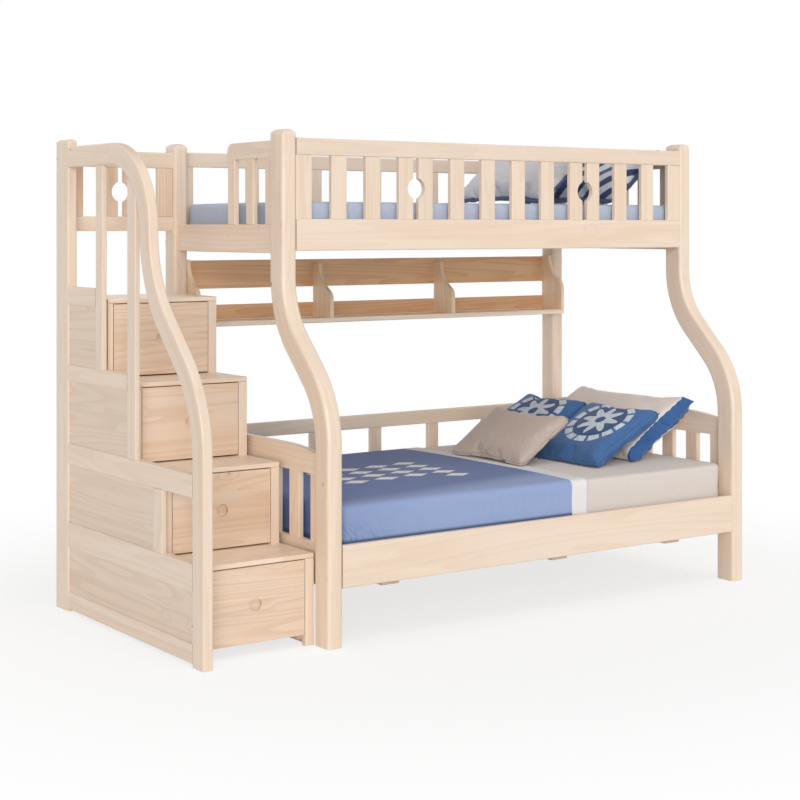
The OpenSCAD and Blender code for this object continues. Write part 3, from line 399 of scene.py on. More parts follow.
def grow(name, points, edges, tree, values):
    """What a tree makes of points and edges, as a plain mesh."""
    mesh = bpy.data.meshes.new(name)
    mesh.from_pydata(points, edges, [])
    thing = put_in_scene(name, mesh)
    modifier = thing.modifiers.new("tree", "NODES")
    modifier.node_group = tree
    sockets = {item.name: item.identifier for item in tree.interface.items_tree
               if item.in_out == "INPUT"}
    for key, value in values.items():
        modifier[sockets[key]] = value
    return apply_all(thing)


print("tree helpers ready")

# %% Discs over the bolt heads
def cap_tree():
    tree, given = start_tree("discs_on_points", Radius="Float", Thickness="Float",
                             Wood="Material")
    disc = add(tree, "GeometryNodeMeshCylinder",
               {"Vertices": 32, "Radius": given[1], "Depth": given[2]})
    on_side = add(tree, "FunctionNodeInputVector", vector=(0, math.pi / 2, 0))
    laid = add(tree, "GeometryNodeInstanceOnPoints",
               {"Points": given[0], "Instance": disc, "Rotation": on_side})
    return end_tree(tree, laid, given[3])


CAP_RADIUS, CAP_THICK, CAP_SUNK = 0.0087, 0.0045, 0.0006
left_face, right_face = 0.513 - MID_X, 2.641 - MID_X
cap_places = []
for y, bottom, height in ((0.022, 0.214, 0.156), (1.276, 0.214, 0.156),
                          (0.342, 1.435, 0.121), (1.276, 1.435, 0.121)):
    for share in (0.25, 0.75):
        for x in (left_face + CAP_SUNK + CAP_THICK / 2, right_face - CAP_SUNK - CAP_THICK / 2):
            cap_places.append((x, y - MID_Y, bottom + share * height))
caps = grow("cover_caps", cap_places, [], cap_tree(),
            {"Radius": CAP_RADIUS, "Thickness": CAP_THICK, "Wood": woods["posts"]})
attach(caps, "bed_frame")
print("cover caps:", len(cap_places))

# %% [markdown]
# ## Woven cotton
# Bed linen is plain-woven cotton or twill. From across a room the threads
# merge, and what is left is a soft, dry surface with a faint sheen at grazing
# angles and small differences from thread to thread. The cloth recipe crosses
# two fine stripes for the threads, in the cloth's own measure, which each
# piece carries as a UV map in metres. What is printed on the cloth comes in
# as a colour, so one recipe serves every piece.

# %% Cotton
THREAD = 0.0016  # spacing in metres, coarser than the real 0.4 mm so that it shows


def cotton(name, colour, sheen=0.25, slub=0.06):
    """colour: a hex value, or a function that prints on the cloth."""
    material, tree = finish_named(name)
    cloth = add(tree, "UVMap", uv_map="cloth")
    axes = add(tree, "SeparateXYZ", [cloth]).outputs
    threads = []
    for axis in (0, 1):
        turn = add(tree, "Math", [axes[axis], math.tau / THREAD], operation="MULTIPLY")
        threads.append(add(tree, "Math", [turn], operation="SINE"))
    weave = add(tree, "Math", threads, operation="MULTIPLY")
    uneven = add(tree, "VectorMath", [cloth, (40.0, 420.0, 1.0)], operation="MULTIPLY")
    uneven = add(tree, "TexNoise", {"Vector": uneven, "Scale": 1.0, "Detail": 2.0})
    base = colour(tree, cloth) if callable(colour) else paint(colour)
    value = add(tree, "MapRange", [uneven, 0.3, 0.7, 1 - slub, 1 + slub])
    value = add(tree, "Math", [weave, 0.018, value], operation="MULTIPLY_ADD")
    tinted = add(tree, "HueSaturation", {"Color": base, "Value": value})
    bump = add(tree, "Bump", {"Strength": 0.35, "Distance": 0.0003, "Height": weave})
    cotton_shader = add(tree, "BsdfPrincipled", {
        "Base Color": tinted, "Roughness": 0.85, "Sheen Weight": sheen,
        "Sheen Roughness": 0.4, "Normal": bump})
    add(tree, "OutputMaterial", [cotton_shader])
    return material


print("cotton recipe ready")

# %% [markdown]
# ## A mesh from rows of points
# Mattresses and pillows are closed skins. Each is made here as rows of points
# that are joined into four-sided faces, because such a grid bends evenly, and
# it can carry its own measure as a UV map from the start.

# %% Skins from rows
BED = "bed_frame"


def skin(name, rows, measure):
    """Join rows of closed rings; measure gives each row and column a UV point in metres."""
    width = len(rows[0])
    mesh = bpy.data.meshes.new(name)
    faces = []
    for k in range(len(rows) - 1):
        for i in range(width):
            j = (i + 1) % width
            faces.append((k * width + i, k * width + j, (k + 1) * width + j, (k + 1) * width + i))
    mesh.from_pydata([tuple(p) for row in rows for p in row], [], faces)
    uv = mesh.uv_layers.new(name="cloth")
    for loop in mesh.loops:
        uv.data[loop.index].uv = measure(*divmod(loop.vertex_index, width))
    return put_in_scene(name, mesh)


def settle(thing, material, smooth=True):
    thing.data.materials.clear()
    thing.data.materials.append(material)
    for face in thing.data.polygons:
        face.use_smooth = smooth
    return thing


def wrinkle(point, scale, seed):
    """Smooth random height from -1 to 1, repeatable."""
    return noise.noise(Vector((point[0] * scale[0] + seed, point[1] * scale[1],
                               point[2] * scale[2])))


print("helpers for soft pieces ready")

# %% [markdown]
# ## Mattresses
# Each mattress is a foam block in a tight cotton sheet: rounded at its
# corners, slightly drawn in along its sides, a little crowned on top. Rings
# that follow one rounded outline, each drawn in by its own amount, build that
# form; shallow dents where the sheet is pulled tight keep it from looking
# cast. The rings are the same as those of the solid in the frame, with more
# points, so the soft mattress fills exactly its place.

# %% Mattress rings
CORNER_ROUND, CROWN = 0.06, 0.006  # corners seen from above, rise of the top in its middle
EDGE, SIDE_EDGE = 0.022, 0.024  # how far the rounded edges reach in on top, and down the side


def outline(size, inset, long_steps, short_steps, corner_steps=8):
    """Points round a rounded rectangle whose edge is drawn in by inset."""
    r = max(CORNER_ROUND - inset, 0.001)
    steps = [short_steps, long_steps, short_steps, long_steps]

    def on_arc(corner, share):
        ways = (1 if corner % 4 in (0, 3) else -1, 1 if corner % 4 in (0, 1) else -1)
        centre = [side / 2 + way * (side / 2 - inset - r) for side, way in zip(size, ways)]
        a = math.pi / 2 * (corner + share)
        return Vector(centre) + r * Vector((math.cos(a), math.sin(a)))

    points = []
    for corner in range(4):
        points += [on_arc(corner, i / corner_steps) for i in range(corner_steps + 1)]
        first, last = points[-1], on_arc(corner + 1, 0)
        count = steps[(corner + 1) % 4]
        points += [first.lerp(last, i / count) for i in range(1, count)]
    return points


def block_profile(height, top_inset):
    """(inset, height) from the middle of the underside, up the side, over the top."""
    path = [(0.30, 0), (0.12, 0), (EDGE, 0), (0.012, 0.0012), (0.005, 0.006), (0.0015, 0.014),
            (0, SIDE_EDGE)]
    for share in (0.25, 0.5, 0.75):
        path.append((0.003 * math.sin(math.pi * share),
                     SIDE_EDGE + share * (height - 2 * SIDE_EDGE)))
    path += [(0, height - SIDE_EDGE), (0.0015, height - 0.014), (0.005, height - 0.006),
             (0.012, height - 0.0015), (EDGE, height)]
    # the crown's share at each inset
    marks = [(EDGE, 0), (0.16, 0.6), (0.33, 0.9), (0.43, 1.0), (9.0, 1.0)]
    steps = 18
    for k in range(1, steps + 1):
        inset = EDGE + (top_inset - EDGE) * k / steps
        for (a, u), (b, w) in zip(marks, marks[1:]):
            if a < inset <= b:
                path.append((inset, height + CROWN * (u + (w - u) * (inset - a) / (b - a))))
    return path


print("rings of a mattress:", len(block_profile(0.2, 0.5)))

# %% Two mattresses
def mattress(name, low, size, top_inset, depth, seed):
    """depth: how deep the sheet is pulled in at most."""
    rows, lengths, run, before = [], [], 0.0, None
    for inset, z in block_profile(size.z, top_inset):
        if before:
            run += math.hypot(inset - before[0], z - before[1])
        before = (inset, z)
        lengths.append(run)
        row = []
        for p in outline(size, inset, 56, 34):
            point = Vector((low.x + p.x, low.y + p.y, low.z + z))
            edge = min(1, max(0, z / 0.03)) * (1 if z < size.z else 0.5)
            dent = depth * edge * (0.5 + 0.5 * wrinkle(point, (9, 9, 16), seed))
            if z < size.z - 0.001:
                inwards = Vector((low.x + size.x / 2 - point.x, low.y + size.y / 2 - point.y, 0))
                point += inwards.normalized() * dent
            else:
                point.z -= dent * 0.6
            row.append(point)
        rows.append(row)

    def measure(k, i):
        p = rows[k][i]
        return p.x, p.y + lengths[k] * (0 if p.z > low.z + size.z else 1)

    thing = skin(name, rows, measure)
    work = bmesh.new()
    work.from_mesh(thing.data)
    for edges in (work.verts[:len(rows[0])], work.verts[-len(rows[0]):]):
        work.faces.new(edges)
    bmesh.ops.recalc_face_normals(work, faces=work.faces)
    work.to_mesh(thing.data)
    work.free()
    return thing


LOWER_INSET, UPPER_INSET = 0.57, 0.42  # the last ring lies this far in from the outline
lower_low = Vector((0.583 - MID_X, 0.049 - MID_Y, 0.303))
lower_size = Vector((1.988, 1.200, 0.200))
lower = mattress("lower_mattress_soft", lower_low, lower_size, LOWER_INSET, 0.0035, 3.0)
upper_low = Vector((0.583 - MID_X, 0.359 - MID_Y, 1.498))
upper_size = Vector((1.988, 0.900, 0.125))
upper = mattress("upper_mattress_soft", upper_low, upper_size, UPPER_INSET, 0.007, 8.0)
sheet_cotton = cotton("woven_cotton_sheet_beige", "#DBD3CE", slub=0.03)
upper_cotton = cotton("woven_cotton_sheet_blue", "#B2BED4", slub=0.04)
for thing, node, slot, cloth in ((lower, "mattress_lower", "sheet_fabric", sheet_cotton),
                                 (upper, "mattress_upper", "upper_sheet", upper_cotton)):
    settle(thing, cloth)
    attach(thing, BED)
    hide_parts(node)
print("mattress faces:", len(lower.data.polygons), len(upper.data.polygons))
LOWER_TOP, UPPER_TOP = 0.509, 1.629  # where the pillows lie

# %% [markdown]
# ## The bedspread
# A cotton spread lies over the foot half of the lower mattress and is tucked
# down beside it, so it takes the mattress's own form, a few millimetres
# further out at its folds. It could be dropped on by a cloth simulation, but
# its hem is tucked in all round and its only free folds are small ones at the
# corner beside the front post, so the same rings make it directly. It gets
# its folds by small outward moves, is cut off where its white trim ends, and
# then gets its thickness.

# %% Spread over the mattress
SPREAD_GAP, SPREAD_THICK = 0.0004, 0.0025
TRIM_START, SPREAD_END = 1.700 - MID_X, 1.782 - MID_X
SPREAD_MESH = 0.016  # distance between its rings, fine enough for the folds
HEM = 0.330


def spread_fold(point):
    """How far the cloth stands off its bed here, never inwards."""
    x, y, z = point
    down = max(0.0, min(1.0, (0.50 - z) / 0.12))  # 0 on top, 1 where it hangs
    foot = max(0.0, 1 - (x - lower_low.x) / 0.35)  # 1 at the foot end, 0 from 0.35 m on
    # gathers every 33 mm, not quite upright
    gathers = 0.5 + 0.5 * math.sin((x + 0.7 * z) * 190 + 3 * wrinkle(point, (7, 7, 7), 2.0))
    loose = 0.5 + 0.5 * wrinkle(point, (3, 3, 9), 11.0)
    return 0.0005 + down * (0.0060 * foot * gathers + 0.0022 * loose) + 0.0018 * loose


rows = []
for inset, z in block_profile(lower_size.z, LOWER_INSET):
    if z < HEM - lower_low.z or inset > 0 and z < 0.03:
        continue
    rows.append((inset, z) if rows else (0.0, HEM - lower_low.z))
dense = rows[:1]
for (a, za), (b, zb) in zip(rows, rows[1:]):
    steps = max(1, round(math.hypot(b - a, zb - za) / SPREAD_MESH))
    dense += [(a + (b - a) * k / steps, za + (zb - za) * k / steps) for k in range(1, steps + 1)]
grid = []
for inset, z in dense:
    on_top = min(1.0, inset / EDGE)
    row = []
    for p in outline(lower_size, inset, 150, 80, 10):
        # the way out: straight from the sides, slanting from the round corners
        outwards = Vector([math.copysign(max(0.0, abs(c) - (size / 2 - inset - CORNER_ROUND)), c)
                           for c, size in zip(p - lower_size.xy / 2, lower_size.xy)])
        outwards = outwards.normalized() if outwards.length > 1e-6 else Vector((0, 0))
        point = Vector((lower_low.x + p.x, lower_low.y + p.y, lower_low.z + z))
        away = SPREAD_GAP + spread_fold(point)
        point += Vector((outwards.x, outwards.y, 0)) * away * (1 - on_top)
        point.z += away * on_top if z > 0.1 else 0
        row.append(point)
    grid.append(row)
spread = skin("bedspread_cloth", grid, lambda k, i: grid[k][i].xy)
work = bmesh.new()
work.from_mesh(spread.data)
work.faces.new(work.verts[-len(grid[0]):])
bmesh.ops.recalc_face_normals(work, faces=work.faces)
bmesh.ops.bisect_plane(work, geom=work.verts[:] + work.edges[:] + work.faces[:],
                       plane_co=(SPREAD_END, 0, 0), plane_no=(1, 0, 0), clear_outer=True)
spread_area = sum(face.calc_area() for face in work.faces)
work.to_mesh(spread.data)
work.free()
solid = spread.modifiers.new("thickness", "SOLIDIFY")
solid.thickness, solid.offset = SPREAD_THICK, 1.0
apply_all(spread)
print("bedspread area, square metres:", round(spread_area, 3))

# %% [markdown]
# ## What is printed on the spread, and its painted shade
# The spread is blue twill with a faded white print: here a block of lozenges
# in rows that are shifted against one another. The white trim starts at a
# seam across the bed. Both are colours by place, worked out from the object's
# coordinates, and so is painted shade: a darker top, a shadow line above the
# rail and shade in the creases at the foot end.

# %% Spread print
ROW, PLACE, SLIDE = 0.150, 0.095, 0.37  # rows along the bed, places in a row, their shift


def within(tree, value, middle, half):
    """1 where the value lies less than half away from the middle, else 0."""
    off = add(tree, "Math", [value, middle], operation="SUBTRACT")
    off = add(tree, "Math", [off], operation="ABSOLUTE")
    return add(tree, "Math", [off, half], operation="LESS_THAN")


def spread_print_and_painted_shade(tree, cloth):
    axes = add(tree, "SeparateXYZ", [add(tree, "TexCoord").outputs["Object"]]).outputs
    rows_at = add(tree, "Math", [axes[0], ROW], operation="DIVIDE")
    row_no = add(tree, "Math", [rows_at], operation="FLOOR")
    in_row = add(tree, "Math", [rows_at], operation="FRACT")
    slide = add(tree, "Math", [row_no, SLIDE, axes[1]], operation="MULTIPLY_ADD")
    places = add(tree, "Math", [slide, PLACE], operation="DIVIDE")
    in_place = add(tree, "Math", [places], operation="FRACT")
    reach = []
    for part in (in_row, in_place):
        middle = add(tree, "Math", [part, 0.5], operation="SUBTRACT")
        reach.append(add(tree, "Math", [middle], operation="ABSOLUTE"))
    lozenge = add(tree, "Math", reach, operation="ADD")
    shape = add(tree, "MapRange", [lozenge, 0.40, 0.43, 1.0, 0.0])
    worn = add(tree, "TexNoise", {"Vector": cloth, "Scale": 60.0, "Detail": 4.0})
    worn = add(tree, "MapRange", [worn, 0.42, 0.56, 0.70, 1.0])
    # the print fills a block of the top, 0.60 by 0.44 m; a lozenge belongs to it by its middle
    row_middle = add(tree, "Math", [row_no, ROW, ROW / 2], operation="MULTIPLY_ADD")
    back = add(tree, "Math", [row_no, -SLIDE, PLACE / 2], operation="MULTIPLY_ADD")
    place_no = add(tree, "Math", [places], operation="FLOOR")
    place_middle = add(tree, "Math", [place_no, PLACE, back], operation="MULTIPLY_ADD")
    mask = within(tree, row_middle, -0.09, 0.30)
    for part in (within(tree, place_middle, -0.02, 0.22), shape, worn):
        mask = add(tree, "Math", [mask, part], operation="MULTIPLY")
    # painted shade: the top is darker towards the back, reaching nearer the front edge at the
    # foot end; a painted shadow darkens the cloth just above and behind the rail
    lies = add(tree, "Math", [axes[0], -0.17, axes[1]], operation="MULTIPLY_ADD")
    lies = add(tree, "MapRange", [lies, -0.56, -0.36, 0.0, 1.0], interpolation_type="SMOOTHSTEP")
    painted_rail_shadow = add(tree, "MapRange", [axes[2], 0.371, 0.383, 0.75, 0.0],
              interpolation_type="SMOOTHSTEP")
    # painted shade in creases at the foot end, where the cloth is pulled down behind the rail
    slant = add(tree, "Math", [axes[2], 0.8, axes[0]], operation="MULTIPLY_ADD")
    slant = add(tree, "CombineXYZ", [slant, axes[2]])
    slant = add(tree, "VectorMath", [slant, (95.0, 22.0, 1.0)], operation="MULTIPLY")
    pulled = add(tree, "TexNoise", {"Vector": slant, "Scale": 1.0, "Detail": 3.0})
    pulled = add(tree, "MapRange", [pulled, 0.48, 0.62, 0.0, 0.7])
    for axis, near, far in ((0, lower_low.x, lower_low.x + 0.26), (2, 0.38, 0.46)):
        reach = add(tree, "MapRange", [axes[axis], near, far, 1.0, 0.0],
                    interpolation_type="SMOOTHSTEP")
        pulled = add(tree, "Math", [pulled, reach], operation="MULTIPLY")
    trim = add(tree, "Math", [axes[0], TRIM_START], operation="GREATER_THAN")

    colour = paint("#95A8D2")
    for share, over in ((lies, "#6A7CAC"), (painted_rail_shadow, "#2C3A5C"), (pulled, "#4E648F"),
                        (mask, "#F6F8FA"), (trim, "#E7E6E9")):
        colour = add(tree, "Mix", {0: share, 6: colour, 7: paint(over)}, data_type="RGBA")
    return colour


settle(spread, cotton("cotton_twill_spread", spread_print_and_painted_shade, sheen=0.04, slub=0.012))
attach(spread, BED)
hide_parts("bedspread")
print("spread printed and laid")

# %% [markdown]
# ## Pillows
# A pillow is two flat panels sewn together and stuffed. Blown up, the sides
# pull in between the corners, and the cloth puckers along the seam because
# there is too much of it there. A short cloth simulation with air pressure
# and no gravity does just that, so each pillow starts flat, is inflated while
# it lies at the origin, and only then takes its size and is laid in place.
# It starts slightly uneven, so that its two halves don't pucker alike.

# %% Two flat panels
BOW, CORNER = 0.045, 0.026  # how far the sides bow out, as a share; radius of the corners
GRID = 44  # faces up a panel


def cut_out(x, y, length, width):
    """Sides bowed outwards, because stuffing pulls them in again, and round corners."""
    u, v = 2 * x / length, 2 * y / width
    x, y = x * (1 + BOW * (1 - v * v)), y * (1 + BOW * (1 - u * u))
    dx, dy = abs(x) - (length / 2 - CORNER), abs(y) - (width / 2 - CORNER)
    if dx > 0 and dy > 0:
        pull = max(dx, dy) / math.hypot(dx, dy)
        x = math.copysign(length / 2 - CORNER + dx * pull, x)
        y = math.copysign(width / 2 - CORNER + dy * pull, y)
    return x, y


def pillow_panel(name, length, width, plump, seed):
    """Two panels of one grid, sharing their rim; X is up the pillow, Y across it."""
    n, m = GRID, max(12, round(GRID * width / length / 2) * 2)
    points, index, faces, uv = [], {}, [], []
    for side in (1, -1):
        for i in range(n + 1):
            for j in range(m + 1):
                u, v = 2 * i / n - 1, 2 * j / m - 1
                rim = abs(u) == 1 or abs(v) == 1
                if rim and side == -1:
                    index[side, i, j] = index[1, i, j]
                    continue
                loft = 0.36 * plump * ((1 - u * u) * (1 - v * v)) ** 0.6
                rough = 1 + 0.25 * noise.noise(Vector((4 * u + seed, 4 * v, side * 3.0)))
                index[side, i, j] = len(points)
                x, y = cut_out(length / 2 * u, width / 2 * v, length, width)
                points.append((x, y, side * loft * rough))
                uv.append((width / 2 * v, length / 2 * u))
        for i in range(n):
            for j in range(m):
                four = [index[side, i, j], index[side, i + 1, j],
                        index[side, i + 1, j + 1], index[side, i, j + 1]]
                faces.append(four if side == 1 else four[::-1])
    mesh = bpy.data.meshes.new(name)
    mesh.from_pydata(points, [], faces)
    layer = mesh.uv_layers.new(name="cloth")
    for loop in mesh.loops:
        layer.data[loop.index].uv = uv[loop.vertex_index]
    rim = ([(0, j) for j in range(m)] + [(i, m) for i in range(n)]
           + [(n, j) for j in range(m, 0, -1)] + [(i, 0) for i in range(n, 0, -1)])
    return put_in_scene(name, mesh), [index[1, i, j] for i, j in rim]


print("pillow panels ready")

# %% Inflate a pillow
FRAMES = 18  # frames of air pressure, after which a pillow is plump


def inflate(thing, cap):
    """Cloth with air pressure; no point moves further than cap."""
    start = [v.co.copy() for v in thing.data.vertices]
    cloth = thing.modifiers.new("stuffing", "CLOTH")
    s = cloth.settings
    s.quality, s.mass, s.air_damping = 6, 0.2, 2.0
    s.tension_stiffness, s.compression_stiffness = 12.0, 12.0
    s.shear_stiffness, s.bending_stiffness = 4.0, 0.12
    s.use_pressure, s.uniform_pressure_force = True, 4.0
    s.effector_weights.gravity = 0.0
    cloth.collision_settings.use_collision = False
    cloth.point_cache.frame_start, cloth.point_cache.frame_end = 1, FRAMES
    for f in range(1, FRAMES + 1):
        bpy.context.scene.frame_set(f)
    apply_all(thing)
    for v, rest in zip(thing.data.vertices, start):
        move = v.co - rest
        if move.length > cap:
            v.co = rest + move * (cap / move.length)
    bpy.context.scene.frame_set(1)


def make_pillow(name, length, width, plump, seed, border):
    """A stuffed pillow at the origin with its true size, and its rim points."""
    inner = (length - 2 * border, width - 2 * border)
    thing, rim = pillow_panel(name, *inner, plump, seed)
    inflate(thing, 0.05)
    vertices = thing.data.vertices
    for axis, want in enumerate((*inner, plump)):
        values = [v.co[axis] for v in vertices]
        middle, size = (max(values) + min(values)) / 2, max(values) - min(values)
        for v in vertices:
            v.co[axis] = (v.co[axis] - middle) * want / size
    return thing, [vertices[k].co.copy() for k in rim]


print("stuffing ready")

# %% Gather and lay a pillow
CLEAR = 0.0006  # between a pillow and what it lies on
BAND = 0.325  # from the middle of the long pillow to the blue band at its open end


def gather(thing):
    """Small waves across the blue band at the open end of the long pillow."""
    for v in thing.data.vertices:
        into = (-v.co.y - (BAND - 0.012)) / 0.03
        if into > 0:
            wave = math.sin(v.co.x * math.tau / 0.038 + 2.0 * noise.noise(v.co * 9))
            v.co.z += 0.0045 * min(1, into) * wave


def lean_matrix(at, tilt, length):
    """From the pillow's own frame to its place: low edge at `at`, tilted back."""
    return (Matrix.Translation(Vector(at)) @ Matrix.Rotation(math.radians(-tilt), 4, "Y")
            @ Matrix.Translation(Vector((length / 2, 0, 0))))


def lay_down(thing, matrix, floor_z):
    """Take the place into the mesh and flatten what would sink into the bed."""
    thing.data.transform(matrix)
    for v in thing.data.vertices:
        v.co.z = max(v.co.z, floor_z + CLEAR)
    thing.data.update()


print("the blue band starts", BAND, "m from the middle")

# %% [markdown]
# ## Flanges, piping and stitches
# A flange is a flat border of one or two layers of cloth outside the seam.
# Piping is a covered cord sewn into the seam. Both follow the rim of the
# inflated pillow. The flange is a strip with a slight wave. The piping is a
# round tube swept along the rim by a small Geometry Nodes tree, whose only
# size is the radius of the cord, and stitches are short threads that another
# tree sets along a line at an even pitch.

# %% Trees for piping and stitches
def piping_tree():
    tree, given = start_tree("piping_along_a_seam", Cord_radius="Float", Cloth="Material")
    seam = add(tree, "GeometryNodeMeshToCurve", {"Mesh": given[0]})
    ring = add(tree, "GeometryNodeCurvePrimitiveCircle", {"Resolution": 8, "Radius": given[1]})
    tube = add(tree, "GeometryNodeCurveToMesh", {"Curve": seam, "Profile Curve": ring})
    return end_tree(tree, tube, given[2], smooth=True)


def stitch_tree():
    tree, given = start_tree("stitches_along_a_line", Pitch="Float", Length="Float",
                             Thread_radius="Float", Thread="Material")
    line = add(tree, "GeometryNodeMeshToCurve", {"Mesh": given[0]})
    marks = add(tree, "GeometryNodeCurveToPoints", {"Curve": line, "Length": given[1]},
                mode="LENGTH")
    thread = add(tree, "GeometryNodeMeshCylinder",
                 {"Vertices": 6, "Radius": given[3], "Depth": given[2]})
    turned = add(tree, "FunctionNodeAlignRotationToVector",
                 {"Vector": marks.outputs["Tangent"]}, axis="Z")
    laid = add(tree, "GeometryNodeInstanceOnPoints",
               {"Points": marks, "Instance": thread, "Rotation": turned})
    return end_tree(tree, laid, given[4])


PIPING, STITCHES = piping_tree(), stitch_tree()


def along_line(name, points, tree, closed, values):
    """A chain of edges through the points, turned into what the tree makes of it."""
    count = len(points)
    chain = [(i, (i + 1) % count) for i in range(count if closed else count - 1)]
    return grow(name, [tuple(p) for p in points], chain, tree, values)


print("trees:", PIPING.name, STITCHES.name)

# %% Flange round a rim
FLANGE_THICK = 0.003


def flange(name, rim, width, material, seed):
    """A flat border that grows out of the seam, with a slight wave."""
    count = len(rim)
    rows = []
    for share in (0, 0.25, 0.5, 0.75, 1):
        row = []
        for k, p in enumerate(rim):
            ahead, behind = rim[(k + 2) % count], rim[k - 2]
            run = (ahead - behind).normalized()
            outwards = Vector((run.y, -run.x, 0)).normalized()
            if outwards.dot(Vector((p.x, p.y, 0))) < 0:
                outwards = -outwards
            wave = 0.0035 * share * noise.noise(Vector((p.x * 14, p.y * 14, seed)))
            # the first row starts a little inside the seam
            row.append(Vector((p.x, p.y, p.z * (1 - share))) + outwards * (share * width - 0.002)
                       + Vector((0, 0, wave)))
        rows.append(row)
    thing = skin(name, rows, lambda k, i: (rows[k][i].y, rows[k][i].x))
    solid = thing.modifiers.new("two layers", "SOLIDIFY")
    solid.thickness, solid.offset = FLANGE_THICK, 0.0
    apply_all(thing)
    return settle(thing, material)


print("flange maker ready")

# %% [markdown]
# ## The cloth of each pillow
# Two square pillows are deep blue with a pale print, a generic rosette inside
# a dashed ring; the long one behind them is beige, with a gathered band of
# deep blue at its open end; a small one is taupe slub cotton. On the upper
# berth lie a grey one with a dark blue flange and one with diagonal navy and
# white stripes.

# %% Seam line and plain prints
def seam_line(tree, cloth, colour, half_across, half_up):
    """A dark line of stitching 11 mm inside the edges, which lie these halves off the middle."""
    axes = add(tree, "SeparateXYZ", [cloth]).outputs
    gaps = []
    for axis, half in ((0, half_across), (1, half_up)):
        out = add(tree, "Math", [axes[axis]], operation="ABSOLUTE")
        gaps.append(add(tree, "Math", [half, out], operation="SUBTRACT"))
    rim = add(tree, "Math", gaps, operation="MINIMUM")
    line = within(tree, rim, 0.011, 0.0014)
    line = add(tree, "Math", [line, 0.5], operation="MULTIPLY")
    return add(tree, "Mix", {0: line, 6: colour, 7: paint("#2A3344")}, data_type="RGBA")


def taupe_print(tree, cloth):
    return seam_line(tree, cloth, paint("#C3B4AB"), 0.258, 0.163)


def blue_end(tree, cloth):
    """Beige, with a deep blue band at the open end and a white cord before it."""
    across = add(tree, "SeparateXYZ", [cloth])
    cord = add(tree, "Math", [across, 0.008 - BAND], operation="LESS_THAN")
    blue = add(tree, "Math", [across, -BAND], operation="LESS_THAN")
    colour = paint("#E6DCD5")
    for share, over in ((cord, "#E8E4E2"), (blue, "#35619D")):
        colour = add(tree, "Mix", {0: share, 6: colour, 7: paint(over)}, data_type="RGBA")
    return colour


print("plain prints ready")

# %% Rosette and stripes
def rosette(tree, cloth):
    """Eight petals inside a dashed ring, set off the middle of the pillow."""
    spot = add(tree, "VectorMath", [cloth, (-0.02, 0.035, 0)], operation="SUBTRACT")
    reach = add(tree, "VectorMath", [spot], operation="LENGTH")
    parts = add(tree, "SeparateXYZ", [spot]).outputs
    angle = add(tree, "Math", [parts[1], parts[0]], operation="ARCTAN2")
    petals = add(tree, "Math", [angle, 8.0], operation="MULTIPLY")
    petals = add(tree, "Math", [petals], operation="COSINE")
    petal_edge = add(tree, "Math", [petals, 0.022, 0.066], operation="MULTIPLY_ADD")
    flower = add(tree, "Math", [reach, petal_edge], operation="LESS_THAN")
    eye = add(tree, "Math", [reach, 0.020], operation="GREATER_THAN")
    flower = add(tree, "Math", [flower, eye], operation="MULTIPLY")
    dashes = add(tree, "Math", [angle, 14.0], operation="MULTIPLY")
    dashes = add(tree, "Math", [dashes], operation="SINE")
    dashes = add(tree, "Math", [dashes, -0.75], operation="GREATER_THAN")
    ring = within(tree, reach, 0.120, 0.015)
    ring = add(tree, "Math", [ring, dashes], operation="MULTIPLY")
    mask = add(tree, "Math", [flower, ring], operation="MAXIMUM")
    worn = add(tree, "TexNoise", {"Vector": cloth, "Scale": 90.0, "Detail": 3.0})
    worn = add(tree, "MapRange", [worn, 0.3, 0.5, 0.55, 0.95])
    mask = add(tree, "Math", [mask, worn], operation="MULTIPLY")
    disc = add(tree, "Math", [reach, 0.105], operation="LESS_THAN")
    colour = paint("#416AA0")
    for share, over in ((disc, "#2F4E7F"), (mask, "#D3DEEA")):
        colour = add(tree, "Mix", {0: share, 6: colour, 7: paint(over)}, data_type="RGBA")
    return seam_line(tree, cloth, colour, 0.213, 0.213)


def diagonal_stripes(tree, cloth):
    axes = add(tree, "SeparateXYZ", [cloth]).outputs
    slope = add(tree, "Math", [axes[0], 1.0, axes[1]], operation="MULTIPLY_ADD")
    share = add(tree, "Math", [slope, 0.105], operation="DIVIDE")
    share = add(tree, "Math", [share], operation="FRACT")
    navy = add(tree, "Math", [share, 0.5], operation="LESS_THAN")
    return add(tree, "Mix", {0: navy, 6: paint("#DADCE2"), 7: paint("#33466E")},
               data_type="RGBA")


print("patterned prints ready")

# %% Six pillows' cloths
blue_cloth = cotton("cotton_blue_printed", rosette, sheen=0.2)
blue_plain = cotton("cotton_blue_plain", "#3A609A", sheen=0.2)
navy_plain = cotton("cotton_navy_plain", "#33466E", sheen=0.2)
beige_cloth = cotton("cotton_beige_with_blue_end", blue_end)
taupe_cloth = cotton("slub_cotton_taupe", taupe_print, slub=0.10)
grey_cloth = cotton("cotton_pale_grey", "#D2D1D6")
striped_cloth = cotton("cotton_striped", diagonal_stripes)
print("seven pillow cloths")

# %% [markdown]
# ## Laying the pillows
# Each pillow stands where the frame keeps room for it: on its low edge,
# leaning back towards the head end. The values are those of the frame's own
# solids, so the soft pillow fills the same space.

